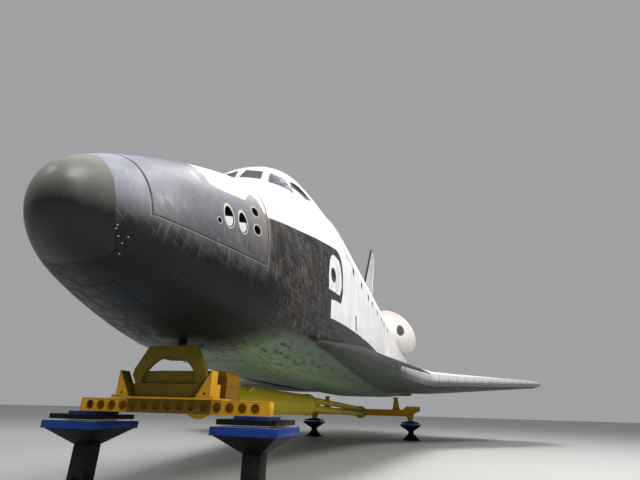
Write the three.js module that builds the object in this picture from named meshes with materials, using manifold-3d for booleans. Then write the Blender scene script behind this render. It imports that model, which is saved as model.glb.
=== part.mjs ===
// A space shuttle orbiter at full size, gear up, on a steel transporter that stands on four pedestals.
//
// The orbiter is laid out in inches: stations run aft, buttlines run to port, waterlines run up.
// The model itself is in millimetres, +X towards the nose, +Y to port, +Z up, with its origin on
// the floor under the middle of the orbiter's length.

import * as THREE from "three";
import { mergeVertices } from "three/addons/utils/BufferGeometryUtils.js";
import { ParametricGeometry } from "three/addons/geometries/ParametricGeometry.js";
import { ConvexGeometry } from "three/addons/geometries/ConvexGeometry.js";
import Module from "manifold-3d";

const wasm = await Module();
wasm.setup();

// Units and the frame
const INCH = 25.4;
const NOSE_STATION = 238;
const TAIL_STATION = 1704;
const MID_STATION = (NOSE_STATION + TAIL_STATION) / 2;
const KEEL_LINE = 267; // waterline of the flat belly
const KEEL_HEIGHT = 2700; // mm from the floor to the belly

// Running gaps
const TOUCH = 0.3; // mm between pieces that touch
const CURVED_TOUCH = 0.5; // the same where both are curved
const SEAM = 12; // mm round a panel that opens
const PORT = 1;
const STARBOARD = -1;
const SIDES = [
  ["port", PORT],
  ["starboard", STARBOARD],
];

// Fuselage breaks, as stations
const CAP_TOP = 251; // aft edge of the nose cap at its top
const CAP_BOTTOM = 264; // and at its bottom
const CABIN_END = 582;
const BAY_END = 1307;
const BASE_END = 1511;
const AROUND = 28; // points round a fuselage section

// Fuselage sections. Above the widest waterline a section is a superellipse of power `crown`,
// below it one of power `belly`.
const FUSELAGE = [
  // station, halfWidth, bottom, widest, top, belly, crown
  [238.0, 2.5, 337.5, 340, 342.5, 2.0, 2.0],
  [239.5, 9.5, 330.0, 340, 349.5, 2.0, 2.0],
  [243, 17.0, 322.0, 339, 356.5, 2.0, 2.0],
  [257, 31.5, 308.0, 337, 369.5, 2.1, 2.05],
  [267, 38.5, 302.5, 335, 376.0, 2.1, 2.15],
  [280, 45.5, 297.5, 334, 383.0, 2.2, 2.3],
  [300, 53.0, 291.5, 333, 392.8, 2.3, 2.6],
  [350, 68.8, 281.5, 331, 413.4, 2.6, 2.85],
  [380, 77.0, 277.5, 331, 423.0, 2.9, 2.9],
  [432, 87.0, 273.0, 331, 440.8, 3.6, 2.45],
  [444, 88.8, 272.3, 332, 452.0, 3.8, 2.3],
  [468, 92.0, 271.2, 334, 480.5, 4.1, 2.3],
  [480, 93.5, 270.8, 336, 491.0, 4.3, 2.35],
  [496, 95.5, 270.3, 341, 496.5, 4.5, 2.35],
  [522, 98.5, 269.6, 354, 500.5, 4.9, 2.3],
  [582, 102.0, 268.5, 392, 502.0, 6.0, 2.0],
  [640, 102.0, 268.0, 400, 502.0, 8.0, 2.0],
  [1307, 102.0, 267.5, 400, 502.0, 8.0, 2.0],
  [1370, 106.5, 268.0, 388, 500.0, 7.0, 2.1],
  [1440, 114.0, 270.5, 372, 496.0, 6.0, 2.3],
  [1511, 121.0, 275.5, 360, 490.0, 5.5, 2.5],
];

// Crew cabin
const CABIN_WALL = 4.5;
const CABIN_FRONT = 432;
const CABIN_BACK = 570;
const MID_DECK = 306; // waterline of the mid-deck floor
const FLIGHT_DECK = 412; // and of the flight-deck floor
const DECK_THICK = 4;
// Window corners on the port side, lower edge first, and the way each pane faces
const WINDOWS = [
  {
    corners: [
      [461, 2.5, 471],
      [456.5, 31, 461.5],
      [473, 27, 481.5],
      [479, 2.5, 488.5],
    ],
    facing: [-0.8, 0.15, 0.6],
  },
  {
    corners: [
      [459.8, 38, 462],
      [466.5, 65.5, 445],
      [479, 51.5, 471.5],
      [473, 32.5, 478.5],
    ],
    facing: [-0.6, 0.5, 0.6],
  },
  {
    corners: [
      [477, 59.5, 463],
      [498, 75.5, 449.5],
      [511, 68.5, 464.5],
      [488, 50, 478.5],
    ],
    facing: [-0.3, 0.75, 0.6],
  },
];
const OVERHEAD = { from: 518, to: 540, inner: 8, outer: 30 };
const PANE_THICK = 1.3;
// Side view of the band of glass behind the posts
const BAND = [
  // station, line
  [446, 478],
  [448, 456],
  [462, 438],
  [508, 440],
  [522, 468],
  [498, 494],
  [462, 494],
];

// Side hatch, on the port side
const HATCH = { station: 522, line: 369, radius: 20, window: 5, thick: 2.6, ledge: 1.6 };

// Forward thruster module: its front seam leans, its rear and its floor are square
const THRUSTERS = { frontLow: 275.7, frontHigh: 261.5, to: 378, floor: 333.5, high: 403 };
const THRUSTER_HOLES = [
  // station, line, radius, downward tilt of its axis in degrees
  [333, 357, 4.65, 47],
  [347.5, 358, 4.75, 47],
  [362.7, 374, 3.9, 0],
  [364.2, 358.5, 4.1, 0],
  [324, 350, 1.9, 20],
];
const TOP_HOLES = [
  // station and line inside, then outside
  [352, 392, 350.5, 440],
  [318, 382, 290, 404],
];

// Payload bay and its doors
const BAY_CENTRE = 400;
const BAY_RADIUS = 93;
const DOOR_RADIUS = 102;
const DOOR_THICK = 4;
const RADIATOR_THICK = 1.6;
const SILL = 414; // waterline of the bay's sills
const HINGE_PADS = 7;
// Angles of a door's two edges, seen from the bay's centre line
const DOOR_INSIDE = DOOR_RADIUS - DOOR_THICK - RADIATOR_THICK;
const DOOR_LOW = Math.asin((SILL - BAY_CENTRE + SEAM / INCH) / DOOR_INSIDE);
const DOOR_HIGH = Math.PI / 2 - SEAM / 2 / (DOOR_INSIDE * INCH);

// Wing, hinge line and elevons
const HINGE_STATION = 1387;
const ELEVON_ROOT = 121;
const ELEVON_SPLIT = 312.5;
const WING_TIP = 468.3;
const TRAIL_ROOT = 1505; // trailing edge at the elevon root
const TRAIL_TIP = 1442;
const WING = [
  // buttline, leading station, chord line, above, below, bulge, nose
  [84, 430, 287, 38, 17.5, 0.92, 1.0],
  [106, 492, 287, 38, 17.5, 0.92, 0.95],
  [130, 660, 287.5, 36.5, 17, 0.86, 0.85],
  [160, 850, 288.5, 34, 16.5, 0.8, 0.78],
  [182, 972, 289.5, 31.5, 16, 0.75, 0.74],
  [200, 1030, 290.2, 29.5, 15.4, 0.72, 0.72],
  [260, 1096, 293, 24, 13.2, 0.68, 0.68],
  [350, 1186, 297.5, 17, 10, 0.64, 0.66],
  [440, 1276, 302, 10.5, 6.8, 0.62, 0.66],
  [458, 1297, 302.9, 8.6, 5.6, 0.62, 0.66],
  [466, 1318, 303.3, 5.6, 3.8, 0.62, 0.66],
  [468.3, 1345, 303.5, 2.6, 1.8, 0.62, 0.66],
];
const ELEVON_BRACKETS = [145, 288, 337, 436]; // buttlines of the hinge brackets
const CHORD_STEPS = 12;
const EDGE_DEPTH = 15; // depth of the leading-edge panels along the chord
const EDGE_START = 150; // buttline where those panels start
const GEAR_DOOR = { from: 1046, to: 1186, inner: 112, outer: 168, thick: 4 };
const NOSE_DOOR = { from: 288, to: 374, inner: 0.25, outer: 16, thick: 4 };

// Fin and rudder
const FIN_ROOT = { line: 498, lead: 1274.8, trail: 1546 };
const FIN_TIP = { line: 816, lead: 1593, trail: TAIL_STATION };
const RUDDER_SHARE = 0.6; // the hinge lies this far along each chord
const RUDDER_LOW = 606;
const RUDDER_HIGH = 797;
const RUDDER_SEAM = 1.2; // inches of waterline between rudder and fin, above and below
const DRUM_SHARE = 0.82; // radius of the hinge drum, as a share of the fin's half thickness
const FIN_HALF_ANGLE = 5; // degrees, of the wedge ahead of the hinge

// Engines: gimbal point, tilt up and tilt outboard in degrees
const MAIN_ENGINES = [
  ["main_nozzle_top", [1445, 0, 443], 16, 0],
  ["main_nozzle_port", [1468, 53, 342.6], 10, 3.5],
  ["main_nozzle_starboard", [1468, -53, 342.6], 10, -3.5],
];
const MAIN_BELL = [
  // distance aft of the gimbal point, outer radius
  [50, 15],
  [60, 20.5],
  [75, 27.5],
  [97, 35],
  [127, 42],
  [157, 47],
];
const POD_BELL = [
  [16, 7.5],
  [26, 12.5],
  [42, 18],
  [60, 21.5],
  [74, 23.2],
];
const BELL_WALL = 1.4;
const BELL_AROUND = 24;

// Manoeuvring pods: ellipses round a centre line
const POD = [
  // station, centre buttline, centre line, half width, half height
  [1311, 80, 462, 4, 4],
  [1315, 80, 463, 15, 16],
  [1324, 79.5, 464, 26, 28],
  [1340, 79, 465.5, 36, 39],
  [1366, 78.5, 467, 44, 49],
  [1405, 78.5, 468, 49, 56],
  [1450, 79, 468.5, 51.5, 59.5],
  [1490, 80, 468.5, 51.5, 59.5],
  [1514, 81, 468, 47, 55],
];
const STINGER = { from: 1488, to: 1556, inner: 92, outer: 126, low: 452, high: 492 };

const BODY_FLAP = { hinge: 1532, line: 287, chord: 81, half: 126, thick: 9.5, tip: 1.6 };

// Transporter and pedestals, in mm. Heights are below the belly.
const CRADLE = {
  station: 395,
  topWidth: 1090,
  baseWidth: 1600,
  deep: 660,
  waist: 385,
  top: 135, // this one is above the belly's lowest line
  hole: { width: 1040, high: 235 },
  pad: 190,
};
const GUSSET = { outer: 1030, apex: 960, foot: 690 };
const BEAM = { long: 4210, high: 258, deep: 480, top: 885, holes: 15, pitch: 260, hole: 78, shift: -70 };
const BOX = { half: 1190, top: 310, bottom: 990, long: 1100, corner: 240 };
const TUBE = { radius: 375, end: 5000, line: 805, flange: 410, rearLine: 1040 };
const SLIM = { radius: 125, places: [[-200, -120], [200, -120], [0, 210]] };
const REAR = {
  station: 1317,
  half: 4050,
  top: 820,
  tipTop: 600,
  bottom: 1230,
  deep: 640,
  hub: 370,
  post: 96.5, // this one in inches from the centre line
};
const LEG = { high: 300, into: 250, foot: 280, head: 620 };
const POST = { plate: 520, plateThick: 60, low: 230, high: 130, ball: 170, ballHigh: 95 };
const ISOLATOR = {
  lower: 1270,
  upper: 1120,
  cap: 670,
  lowerThick: 140,
  upperThick: 90,
  capThick: 55,
  gap: 35,
  slider: 640,
};
const PEDESTAL = { column: 350, head: 1150, headHigh: 300, base: 1100, baseThick: 60 };
const FRONT_FEET = 1820; // mm from the centre line to a front pedestal
const REAR_FEET = 3370;

// A point from a station, a buttline (port is positive) and a waterline
function at(station, buttline, waterline) {
  return new THREE.Vector3(
    (MID_STATION - station) * INCH,
    buttline * INCH,
    (waterline - KEEL_LINE) * INCH + KEEL_HEIGHT,
  );
}

// A closed three.js geometry as a solid, facing out whichever way it was wound
function solid(geometry, matrix = new THREE.Matrix4()) {
  const bare = new THREE.BufferGeometry();
  const source = geometry.index ? geometry.toNonIndexed() : geometry.clone();
  bare.setAttribute("position", source.getAttribute("position"));
  bare.applyMatrix4(matrix);
  const merged = mergeVertices(bare, 1e-2);
  const index = merged.index.array;
  const faces = [];
  for (let i = 0; i < index.length; i += 3) {
    const [a, b, c] = [index[i], index[i + 1], index[i + 2]];
    if (a !== b && b !== c && c !== a) faces.push([a, b, c]);
  }
  const build = (list) =>
    new wasm.Manifold(
      new wasm.Mesh({
        numProp: 3,
        vertProperties: merged.getAttribute("position").array,
        triVerts: new Uint32Array(list.flat()),
      }),
    );
  const made = build(faces);
  return made.volume() > 0 ? made : build(faces.map(([a, b, c]) => [a, c, b]));
}

// A skin through rings of points, closed at both ends by a fan from the ring's middle
function loft(rings) {
  const middle = (ring) =>
    ring.reduce((sum, p) => sum.add(p), new THREE.Vector3()).divideScalar(ring.length);
  const first = middle(rings[0]);
  const last = middle(rings[rings.length - 1]);
  const rows = [rings[0].map(() => first), ...rings, rings[0].map(() => last)];
  const around = rings[0].length;
  const along = rows.length - 1;
  const place = (u, v, target) => {
    const row = rows[Math.round(v * along)];
    target.copy(row[Math.round(u * around) % around]);
  };
  return solid(new ParametricGeometry(place, around, along));
}

// A block between two corners given in inches
function block(low, high) {
  return blockBetween(at(...low), at(...high));
}

function blockBetween(a, b) {
  const size = new THREE.Vector3().subVectors(b, a);
  const geometry = new THREE.BoxGeometry(Math.abs(size.x), Math.abs(size.y), Math.abs(size.z));
  const middle = new THREE.Vector3().addVectors(a, b).multiplyScalar(0.5);
  return solid(geometry, new THREE.Matrix4().makeTranslation(middle.x, middle.y, middle.z));
}

// A round bar, which may taper, from one point to another. A rolled one is turned by half a side.
function bar(from, to, startRadius, endRadius = startRadius, around = 20, rolled = false) {
  const way = new THREE.Vector3().subVectors(to, from);
  const geometry = new THREE.CylinderGeometry(endRadius, startRadius, way.length(), around);
  if (rolled) geometry.rotateY(Math.PI / around);
  const turn = new THREE.Quaternion().setFromUnitVectors(
    new THREE.Vector3(0, 1, 0),
    way.clone().normalize(),
  );
  const middle = new THREE.Vector3().addVectors(from, to).multiplyScalar(0.5);
  return solid(geometry, new THREE.Matrix4().compose(middle, turn, new THREE.Vector3(1, 1, 1)));
}

// An outline drawn across the part, on Y and Z, extruded along X from `front` backwards
function acrossX(outline, front, deep, curveSegments = 10) {
  const geometry = new THREE.ExtrudeGeometry(outline, { depth: deep, bevelEnabled: false, curveSegments });
  // The outline's X becomes the part's Y, its Y becomes Z, and the depth becomes X
  const frame = new THREE.Matrix4().makeBasis(
    new THREE.Vector3(0, 1, 0),
    new THREE.Vector3(0, 0, 1),
    new THREE.Vector3(1, 0, 0),
  );
  frame.setPosition(front - deep, 0, 0);
  return solid(geometry, frame);
}

// An outline in plan, on X and Y, extruded up between two heights
function plan(points, low, high) {
  const outline = new THREE.Shape(points.map((p) => new THREE.Vector2(p.x, p.y)));
  const geometry = new THREE.ExtrudeGeometry(outline, { depth: high - low, bevelEnabled: false });
  return solid(geometry, new THREE.Matrix4().makeTranslation(0, 0, low));
}

// An outline in side view, as stations and waterlines, extruded evenly to port and starboard
function acrossY(outline, half) {
  const points = outline.map(([station, line]) => {
    const p = at(station, 0, line);
    return new THREE.Vector2(p.x, p.z);
  });
  const geometry = new THREE.ExtrudeGeometry(new THREE.Shape(points), {
    depth: 2 * half * INCH,
    bevelEnabled: false,
  });
  // The outline's Y becomes Z and its depth runs to starboard
  const frame = new THREE.Matrix4().makeRotationX(Math.PI / 2);
  frame.setPosition(0, half * INCH, 0);
  return solid(geometry, frame);
}

// Fuselage section at any station, straight between the table's rows
function sectionAt(station) {
  const found = FUSELAGE.findIndex((row) => row[0] >= station);
  const next = found < 0 ? FUSELAGE.length - 1 : Math.max(found, 1);
  const high = FUSELAGE[next];
  const low = FUSELAGE[next - 1];
  const share = (station - low[0]) / (high[0] - low[0]);
  const [, halfWidth, bottom, widest, top, belly, crown] = low.map(
    (value, i) => value + (high[i] - value) * share,
  );
  return { halfWidth, bottom, widest, top, belly, crown };
}

// The ring of a section, grown outwards by some inches
function sectionRing(station, grow = 0, floor = -Infinity) {
  const s = sectionAt(station);
  return Array.from({ length: AROUND }, (_, i) => {
    const turn = (2 * Math.PI * (i + 0.5)) / AROUND;
    const across = Math.cos(turn);
    const up = Math.sin(turn);
    const power = 2 / (up > 0 ? s.crown : s.belly);
    const y = Math.sign(across) * Math.abs(across) ** power * (s.halfWidth + grow);
    const reach = up > 0 ? s.top + grow - s.widest : s.widest - s.bottom + grow;
    const z = s.widest + Math.sign(up) * Math.abs(up) ** power * reach;
    return at(station, y, Math.max(z, floor));
  });
}

function fuselage(from, to, grow = 0, floor = -Infinity) {
  const between = FUSELAGE.map((row) => row[0]).filter((s) => s > from && s < to);
  return loft([from, ...between, to].map((s) => sectionRing(s, grow, floor)));
}

// Everything ahead of the tilted joint behind the nose cap
function capRegion(shift) {
  const back = shift / INCH;
  const outline = [
    [CAP_TOP + back, 386],
    [CAP_BOTTOM + back, 290],
    [200, 290],
    [200, 386],
  ];
  return acrossY(outline, 80);
}

// A prism through the skin: the pane's outline pushed in and out along the way it faces
function windowPrism(corners, facing, side, from, to) {
  const points = corners.map(([s, b, w]) => at(s, b * side, w));
  // The table's facing is in stations, so its first number runs aft
  const out = new THREE.Vector3(-facing[0], facing[1] * side, facing[2]).normalize();
  const ends = [from * INCH, to * INCH];
  const all = ends.flatMap((d) => points.map((p) => p.clone().addScaledVector(out, d)));
  return solid(new ConvexGeometry(all));
}

function windowCuts(from, to) {
  const cuts = WINDOWS.flatMap(({ corners, facing }) =>
    SIDES.map(([, side]) => windowPrism(corners, facing, side, from, to)),
  );
  return cuts.reduce((sum, cut) => sum.add(cut));
}

function overheadCuts(grow = 0) {
  const { from, to, inner, outer } = OVERHEAD;
  return SIDES.map(([, side]) =>
    block([from - grow, side * (inner - grow), 470], [to + grow, side * (outer + grow), 520]),
  ).reduce((sum, cut) => sum.add(cut));
}

// The hatch's outline as a round bar through the port wall
function hatchBar(radius) {
  return bar(
    at(HATCH.station, 70, HATCH.line),
    at(HATCH.station, 120, HATCH.line),
    radius * INCH,
    radius * INCH,
    32,
  );
}

function noseDoorBlock(side, grow) {
  const { from, to, inner, outer, thick } = NOSE_DOOR;
  const top = sectionAt(from).bottom + thick + (grow > 0 ? TOUCH / INCH : 0);
  return block([from - grow, side * (inner - grow), 255], [to + grow, side * (outer + grow), top]);
}

function noseDoor(side) {
  return fuselage(CAP_TOP, CRADLE.station).intersect(noseDoorBlock(side, 0));
}

// The crew cabin's hollow
function cabinSpace(grow = 0) {
  return fuselage(CABIN_FRONT, CABIN_BACK, grow - CABIN_WALL, MID_DECK);
}

function thrusterBlock(grow) {
  const { frontLow, frontHigh, to, floor, high } = THRUSTERS;
  const lean = (frontLow - frontHigh) / (high - floor);
  const outline = [
    [frontLow + lean * grow - grow, floor - grow],
    [frontHigh - lean * 40 - grow, high + 40],
    [to + grow, high + 40],
    [to + grow, floor - grow],
  ];
  return acrossY(outline, 95);
}

function thrusterHoles() {
  const cuts = [];
  for (const [, side] of SIDES)
    for (const [station, line, radius, tilt] of THRUSTER_HOLES) {
      const down = THREE.MathUtils.degToRad(tilt);
      const skin = sectionAt(station).halfWidth * 0.93;
      const inside = at(station, side * (skin - 14), line + Math.tan(down) * 14);
      const outside = at(station, side * (skin + 20), line - Math.tan(down) * 20);
      cuts.push(bar(inside, outside, radius * INCH * 0.85, radius * INCH * 1.2, 14));
    }
  for (const [inStation, inLine, outStation, outLine] of TOP_HOLES)
    for (const y of [-14.4, 0, 14.4])
      cuts.push(bar(at(inStation, y, inLine), at(outStation, y, outLine), 3.1 * INCH, 5 * INCH, 12));
  return cuts.reduce((sum, cut) => sum.add(cut));
}

function noseCap() {
  return fuselage(NOSE_STATION, 290).intersect(capRegion(0));
}

function forwardFuselage() {
  let shell = fuselage(NOSE_STATION, CABIN_END - TOUCH / INCH)
    .subtract(capRegion(TOUCH))
    .subtract(thrusterBlock(TOUCH / INCH))
    .subtract(cabinSpace())
    .subtract(windowCuts(-14, 12))
    .subtract(overheadCuts())
    .subtract(hatchBar(HATCH.radius).subtract(hatchCore(TOUCH / INCH)))
    .subtract(hatchBar(HATCH.radius - HATCH.ledge));
  for (const [, side] of SIDES) shell = shell.subtract(noseDoorBlock(side, SEAM / INCH));
  return shell;
}

function thrusterModule() {
  return fuselage(THRUSTERS.frontHigh - 15, THRUSTERS.to + 20)
    .intersect(thrusterBlock(0))
    .subtract(thrusterHoles());
}

// The six panes run behind the posts as one band that follows the cabin's wall
function windshield() {
  const clear = -CABIN_WALL - TOUCH / INCH;
  const skin = fuselage(CABIN_FRONT + 0.5, CABIN_BACK - 10, clear);
  const core = fuselage(CABIN_FRONT - 1, CABIN_BACK - 9, clear - PANE_THICK);
  return skin.subtract(core).intersect(acrossY(BAND, 100));
}

// What lies inside the hatch: the ledge that it closes on follows the skin
function hatchCore(grow = 0) {
  return fuselage(CABIN_FRONT, CABIN_BACK, -HATCH.thick - grow);
}

function hatch() {
  return fuselage(CABIN_FRONT, CABIN_BACK)
    .subtract(hatchCore())
    .intersect(hatchBar(HATCH.radius - SEAM / INCH))
    .subtract(hatchBar(HATCH.window));
}

function hatchWindow() {
  const outer = fuselage(CABIN_FRONT, CABIN_BACK, -1.2);
  const inner = fuselage(CABIN_FRONT - 2, CABIN_BACK + 2, -2.6);
  return outer.subtract(inner).intersect(hatchBar(HATCH.window - TOUCH / INCH));
}

function deckPlate(line, from, to) {
  const room = fuselage(CABIN_FRONT + 0.02, CABIN_BACK - 0.02, -CABIN_WALL - TOUCH / INCH, MID_DECK + 0.02);
  return room.intersect(block([from, -100, line - DECK_THICK], [to, 100, line]));
}

function midFuselage() {
  const trough = bar(
    at(CABIN_END - 10, 0, BAY_CENTRE),
    at(BAY_END + 10, 0, BAY_CENTRE),
    BAY_RADIUS * INCH,
    BAY_RADIUS * INCH,
    40,
  );
  const body = fuselage(CABIN_END, BAY_END)
    .subtract(trough)
    .subtract(block([CABIN_END - 5, -110, SILL], [BAY_END + 5, 110, 520]));
  return body.add(hingePads());
}

// Low blocks on both sills that carry the doors' lower edges
function hingePads() {
  const top = BAY_CENTRE + (DOOR_RADIUS - DOOR_THICK) * Math.sin(DOOR_LOW) - TOUCH / INCH;
  const inner = (DOOR_RADIUS - DOOR_THICK) * Math.cos(DOOR_LOW) + 2 * TOUCH / INCH;
  const pitch = (BAY_END - CABIN_END) / HINGE_PADS;
  const pads = SIDES.flatMap(([, side]) =>
    Array.from({ length: HINGE_PADS }, (_, i) => {
      const station = CABIN_END + pitch * (i + 0.5);
      return block([station - 4, side * inner, SILL - 1], [station + 4, side * 100, top]);
    }),
  );
  return pads.reduce((sum, pad) => sum.add(pad));
}

// A quarter ring across the bay, from the sill up to the middle
function bayArc(side, outer, thick) {
  const centre = at(0, 0, BAY_CENTRE).z;
  const outline = new THREE.Shape();
  const flip = (angle) => (side > 0 ? angle : Math.PI - angle);
  outline.absarc(0, centre, outer, flip(DOOR_LOW), flip(DOOR_HIGH), side < 0);
  outline.absarc(0, centre, outer - thick, flip(DOOR_HIGH), flip(DOOR_LOW), side > 0);
  outline.closePath();
  const front = at(CABIN_END, 0, 0).x - SEAM;
  return acrossX(outline, front, (BAY_END - CABIN_END) * INCH - 2 * SEAM);
}

function bayDoor(side) {
  return bayArc(side, DOOR_RADIUS * INCH, DOOR_THICK * INCH);
}

// It shares the door's angles, so that their flats lie parallel
function radiator(side) {
  const outer = (DOOR_RADIUS - DOOR_THICK) * INCH - TOUCH;
  return bayArc(side, outer, RADIATOR_THICK * INCH);
}

function aftFuselage(grow = 0) {
  return fuselage(BAY_END + TOUCH / INCH, BASE_END + grow, grow);
}

// The shelf under the engines that carries the body flap
function aftShelf() {
  const { hinge, line, half, thick } = BODY_FLAP;
  const shelf = block([BASE_END - 4, -half + 4, 277], [hinge - 1, half - 4, line + 14]);
  const ends = [at(hinge, -half, line), at(hinge, half, line)];
  const saddles = [-88, 0, 88]
    .map((y) => block([hinge - 2 * thick, y - 2, line - 4], [hinge, y + 2, line + 4]))
    .reduce((sum, one) => sum.add(one));
  const close = thick * INCH * ROUND_FIT + CURVED_TOUCH;
  const cove = bar(...ends, thick * INCH + 10, thick * INCH + 10, HINGE_AROUND)
    .subtract(saddles)
    .add(bar(...ends, close, close, HINGE_AROUND, true));
  return shelf.subtract(cove);
}

// Wing section rows, with the thickness spread along the chord by a power of a sine
function wingRow(buttline) {
  const next = Math.max(WING.findIndex((row) => row[0] >= buttline), 1);
  const [low, high] = [WING[next - 1], WING[next]];
  const share = (buttline - low[0]) / (high[0] - low[0]);
  const [, lead, line, above, below, bulge, nose] = low.map(
    (value, i) => value + (high[i] - value) * share,
  );
  const trail = TRAIL_ROOT + ((buttline - ELEVON_ROOT) * (TRAIL_TIP - TRAIL_ROOT)) / (WING_TIP - ELEVON_ROOT);
  return { buttline, lead, trail, line, above, below, bulge, nose };
}

function wingHeights(row, share) {
  const full = Math.sin(Math.PI * share ** row.bulge) ** row.nose;
  const edge = 0.35; // inches left at the trailing edge
  return [row.line + row.above * full + edge, row.line - row.below * full - edge];
}

function wingRing(row, side) {
  const upper = [];
  const lower = [];
  for (let i = 1; i <= CHORD_STEPS; i++) {
    // The steps crowd towards the leading edge
    const share = Math.min((i / CHORD_STEPS) ** 1.6, 1);
    const station = row.lead + share * (row.trail - row.lead);
    const [up, down] = wingHeights(row, Math.min(share, 0.9999));
    upper.push(at(station, side * row.buttline, up));
    lower.push(at(station, side * row.buttline, down));
  }
  return [at(row.lead, side * row.buttline, row.line), ...upper, ...lower.reverse()];
}

function wingWhole(side) {
  return loft(WING.map((row) => wingRing(wingRow(row[0]), side)));
}

// Middle height and half thickness on the elevon hinge line
function hingeAt(buttline) {
  const row = wingRow(buttline);
  const [up, down] = wingHeights(row, (HINGE_STATION - row.lead) / (row.trail - row.lead));
  return { line: (up + down) / 2, half: (up - down) / 2 };
}

const HINGE_ROOT = hingeAt(ELEVON_ROOT);
const HINGE_END = 440; // the outermost buttline where the blade is full
const HINGE_TIP = hingeAt(HINGE_END);

// The hinge line is straight, so places along it are read off between two buttlines
function hingeLine(buttline) {
  const share = (buttline - ELEVON_ROOT) / (HINGE_END - ELEVON_ROOT);
  return {
    line: HINGE_ROOT.line + share * (HINGE_TIP.line - HINGE_ROOT.line),
    half: HINGE_ROOT.half + share * (HINGE_TIP.half - HINGE_ROOT.half),
  };
}

const HINGE_AROUND = 24;
// A socket that a turned bar of so many flat sides fits at any angle
const ROUND_FIT = 1 / Math.cos(Math.PI / HINGE_AROUND);
const COVE_FIT = 1.03;
const COVE_CLEAR = 0.35; // inches

function hingeBar(side, from, to, scale, grow, rolled = false) {
  const [a, b] = [hingeLine(from), hingeLine(to)];
  return bar(
    at(HINGE_STATION, side * from, a.line),
    at(HINGE_STATION, side * to, b.line),
    a.half * INCH * scale + grow,
    b.half * INCH * scale + grow,
    HINGE_AROUND,
    rolled,
  );
}

// Room for the blades, which are thicker than the hinge bar between its ends
function coveRoom(side) {
  const ends = [ELEVON_ROOT - SEAM / INCH, WING_TIP + 5];
  const inside = (buttline) => buttline > ends[0] && buttline < WING_TIP - 9;
  const rows = WING.map((row) => row[0]).filter(inside);
  const rings = [ends[0], ...rows, ends[1]].map((buttline) => {
    const hinge = hingeLine(buttline);
    const blade = hingeAt(Math.min(Math.max(buttline, ELEVON_ROOT), HINGE_END));
    const reach = Math.max(blade.half + Math.abs(blade.line - hinge.line), hinge.half);
    const radius = reach * COVE_FIT + COVE_CLEAR;
    return Array.from({ length: HINGE_AROUND }, (_, i) => {
      const turn = (2 * Math.PI * i) / HINGE_AROUND;
      const aft = HINGE_STATION + Math.cos(turn) * radius;
      return at(aft, side * buttline, hinge.line + Math.sin(turn) * radius);
    });
  });
  return loft(rings);
}

// What is cut from the wing ahead of the elevons: roomy, but close at the hinge brackets
function elevonCove(side) {
  const [from, to] = [ELEVON_ROOT - SEAM / INCH, WING_TIP + 5];
  const brackets = ELEVON_BRACKETS.map((buttline) => {
    const { line, half } = hingeLine(buttline);
    const reach = half * 0.5;
    return block(
      [HINGE_STATION - 2 * half, side * (buttline - 1.5), line - reach],
      [HINGE_STATION, side * (buttline + 1.5), line + reach],
    );
  }).reduce((sum, one) => sum.add(one));
  return coveRoom(side)
    .subtract(brackets)
    .add(hingeBar(side, from, to, ROUND_FIT, CURVED_TOUCH, true));
}

function elevonSpan(side, from, to) {
  return block([HINGE_STATION, side * from, 200], [1530, side * to, 400]);
}

// Strip of the plan from the leading edge back to the leading-edge panels' joint
function edgeRegion(side, shift) {
  const rows = WING.map((row) => wingRow(row[0])).filter((row) => row.buttline > EDGE_START);
  rows.unshift(wingRow(EDGE_START));
  const depth = (row) => EDGE_DEPTH * (row.buttline < 210 ? 2.2 : 1.4);
  const back = rows.map((row) => at(row.lead + depth(row), side * row.buttline, 0));
  const last = rows[rows.length - 1];
  const front = [
    at(last.lead + EDGE_DEPTH, side * (WING_TIP + 10), 0),
    at(900, side * (WING_TIP + 10), 0),
    at(500, side * EDGE_START, 0),
  ];
  const points = [...back, ...front].map((p) => p.setX(p.x - shift));
  return plan(points, at(0, 0, 240).z, at(0, 0, 360).z);
}

function gearDoorBlock(side, grow) {
  const { from, to, inner, outer, thick } = GEAR_DOOR;
  const top = 271.5 + thick + (grow > 0 ? TOUCH / INCH : 0);
  return block([from - grow, side * (inner - grow), 250], [to + grow, side * (outer + grow), top]);
}

function gearDoor(side) {
  return wingWhole(side).intersect(gearDoorBlock(side, 0));
}

// The wing's own region: outside the fuselage, ahead of the elevons
function wingBox(side) {
  return wingWhole(side)
    .subtract(fuselage(NOSE_STATION, BASE_END, TOUCH / INCH))
    .subtract(elevonSpan(side, 0, WING_TIP + 5))
    .subtract(elevonCove(side));
}

function wing(side) {
  return wingBox(side).subtract(edgeRegion(side, TOUCH)).subtract(gearDoorBlock(side, SEAM / INCH));
}

function wingEdge(side) {
  return wingBox(side).intersect(edgeRegion(side, 0));
}

function elevon(side, from, to) {
  const inset = SEAM / INCH;
  const blade = wingWhole(side).intersect(elevonSpan(side, from + inset, to - inset));
  return blade.add(hingeBar(side, from + inset, Math.min(to - inset, 460), 1, 0));
}

// Fin: chord ends and half thickness at a waterline
function finRow(line) {
  const share = (line - FIN_ROOT.line) / (FIN_TIP.line - FIN_ROOT.line);
  const lead = FIN_ROOT.lead + share * (FIN_TIP.lead - FIN_ROOT.lead);
  const trail = FIN_ROOT.trail + share * (FIN_TIP.trail - FIN_ROOT.trail);
  const hinge = lead + RUDDER_SHARE * (trail - lead);
  const half = Math.tan(THREE.MathUtils.degToRad(FIN_HALF_ANGLE)) * (hinge - lead) * 0.92 + 1;
  return { lead, trail, hinge, half };
}

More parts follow.
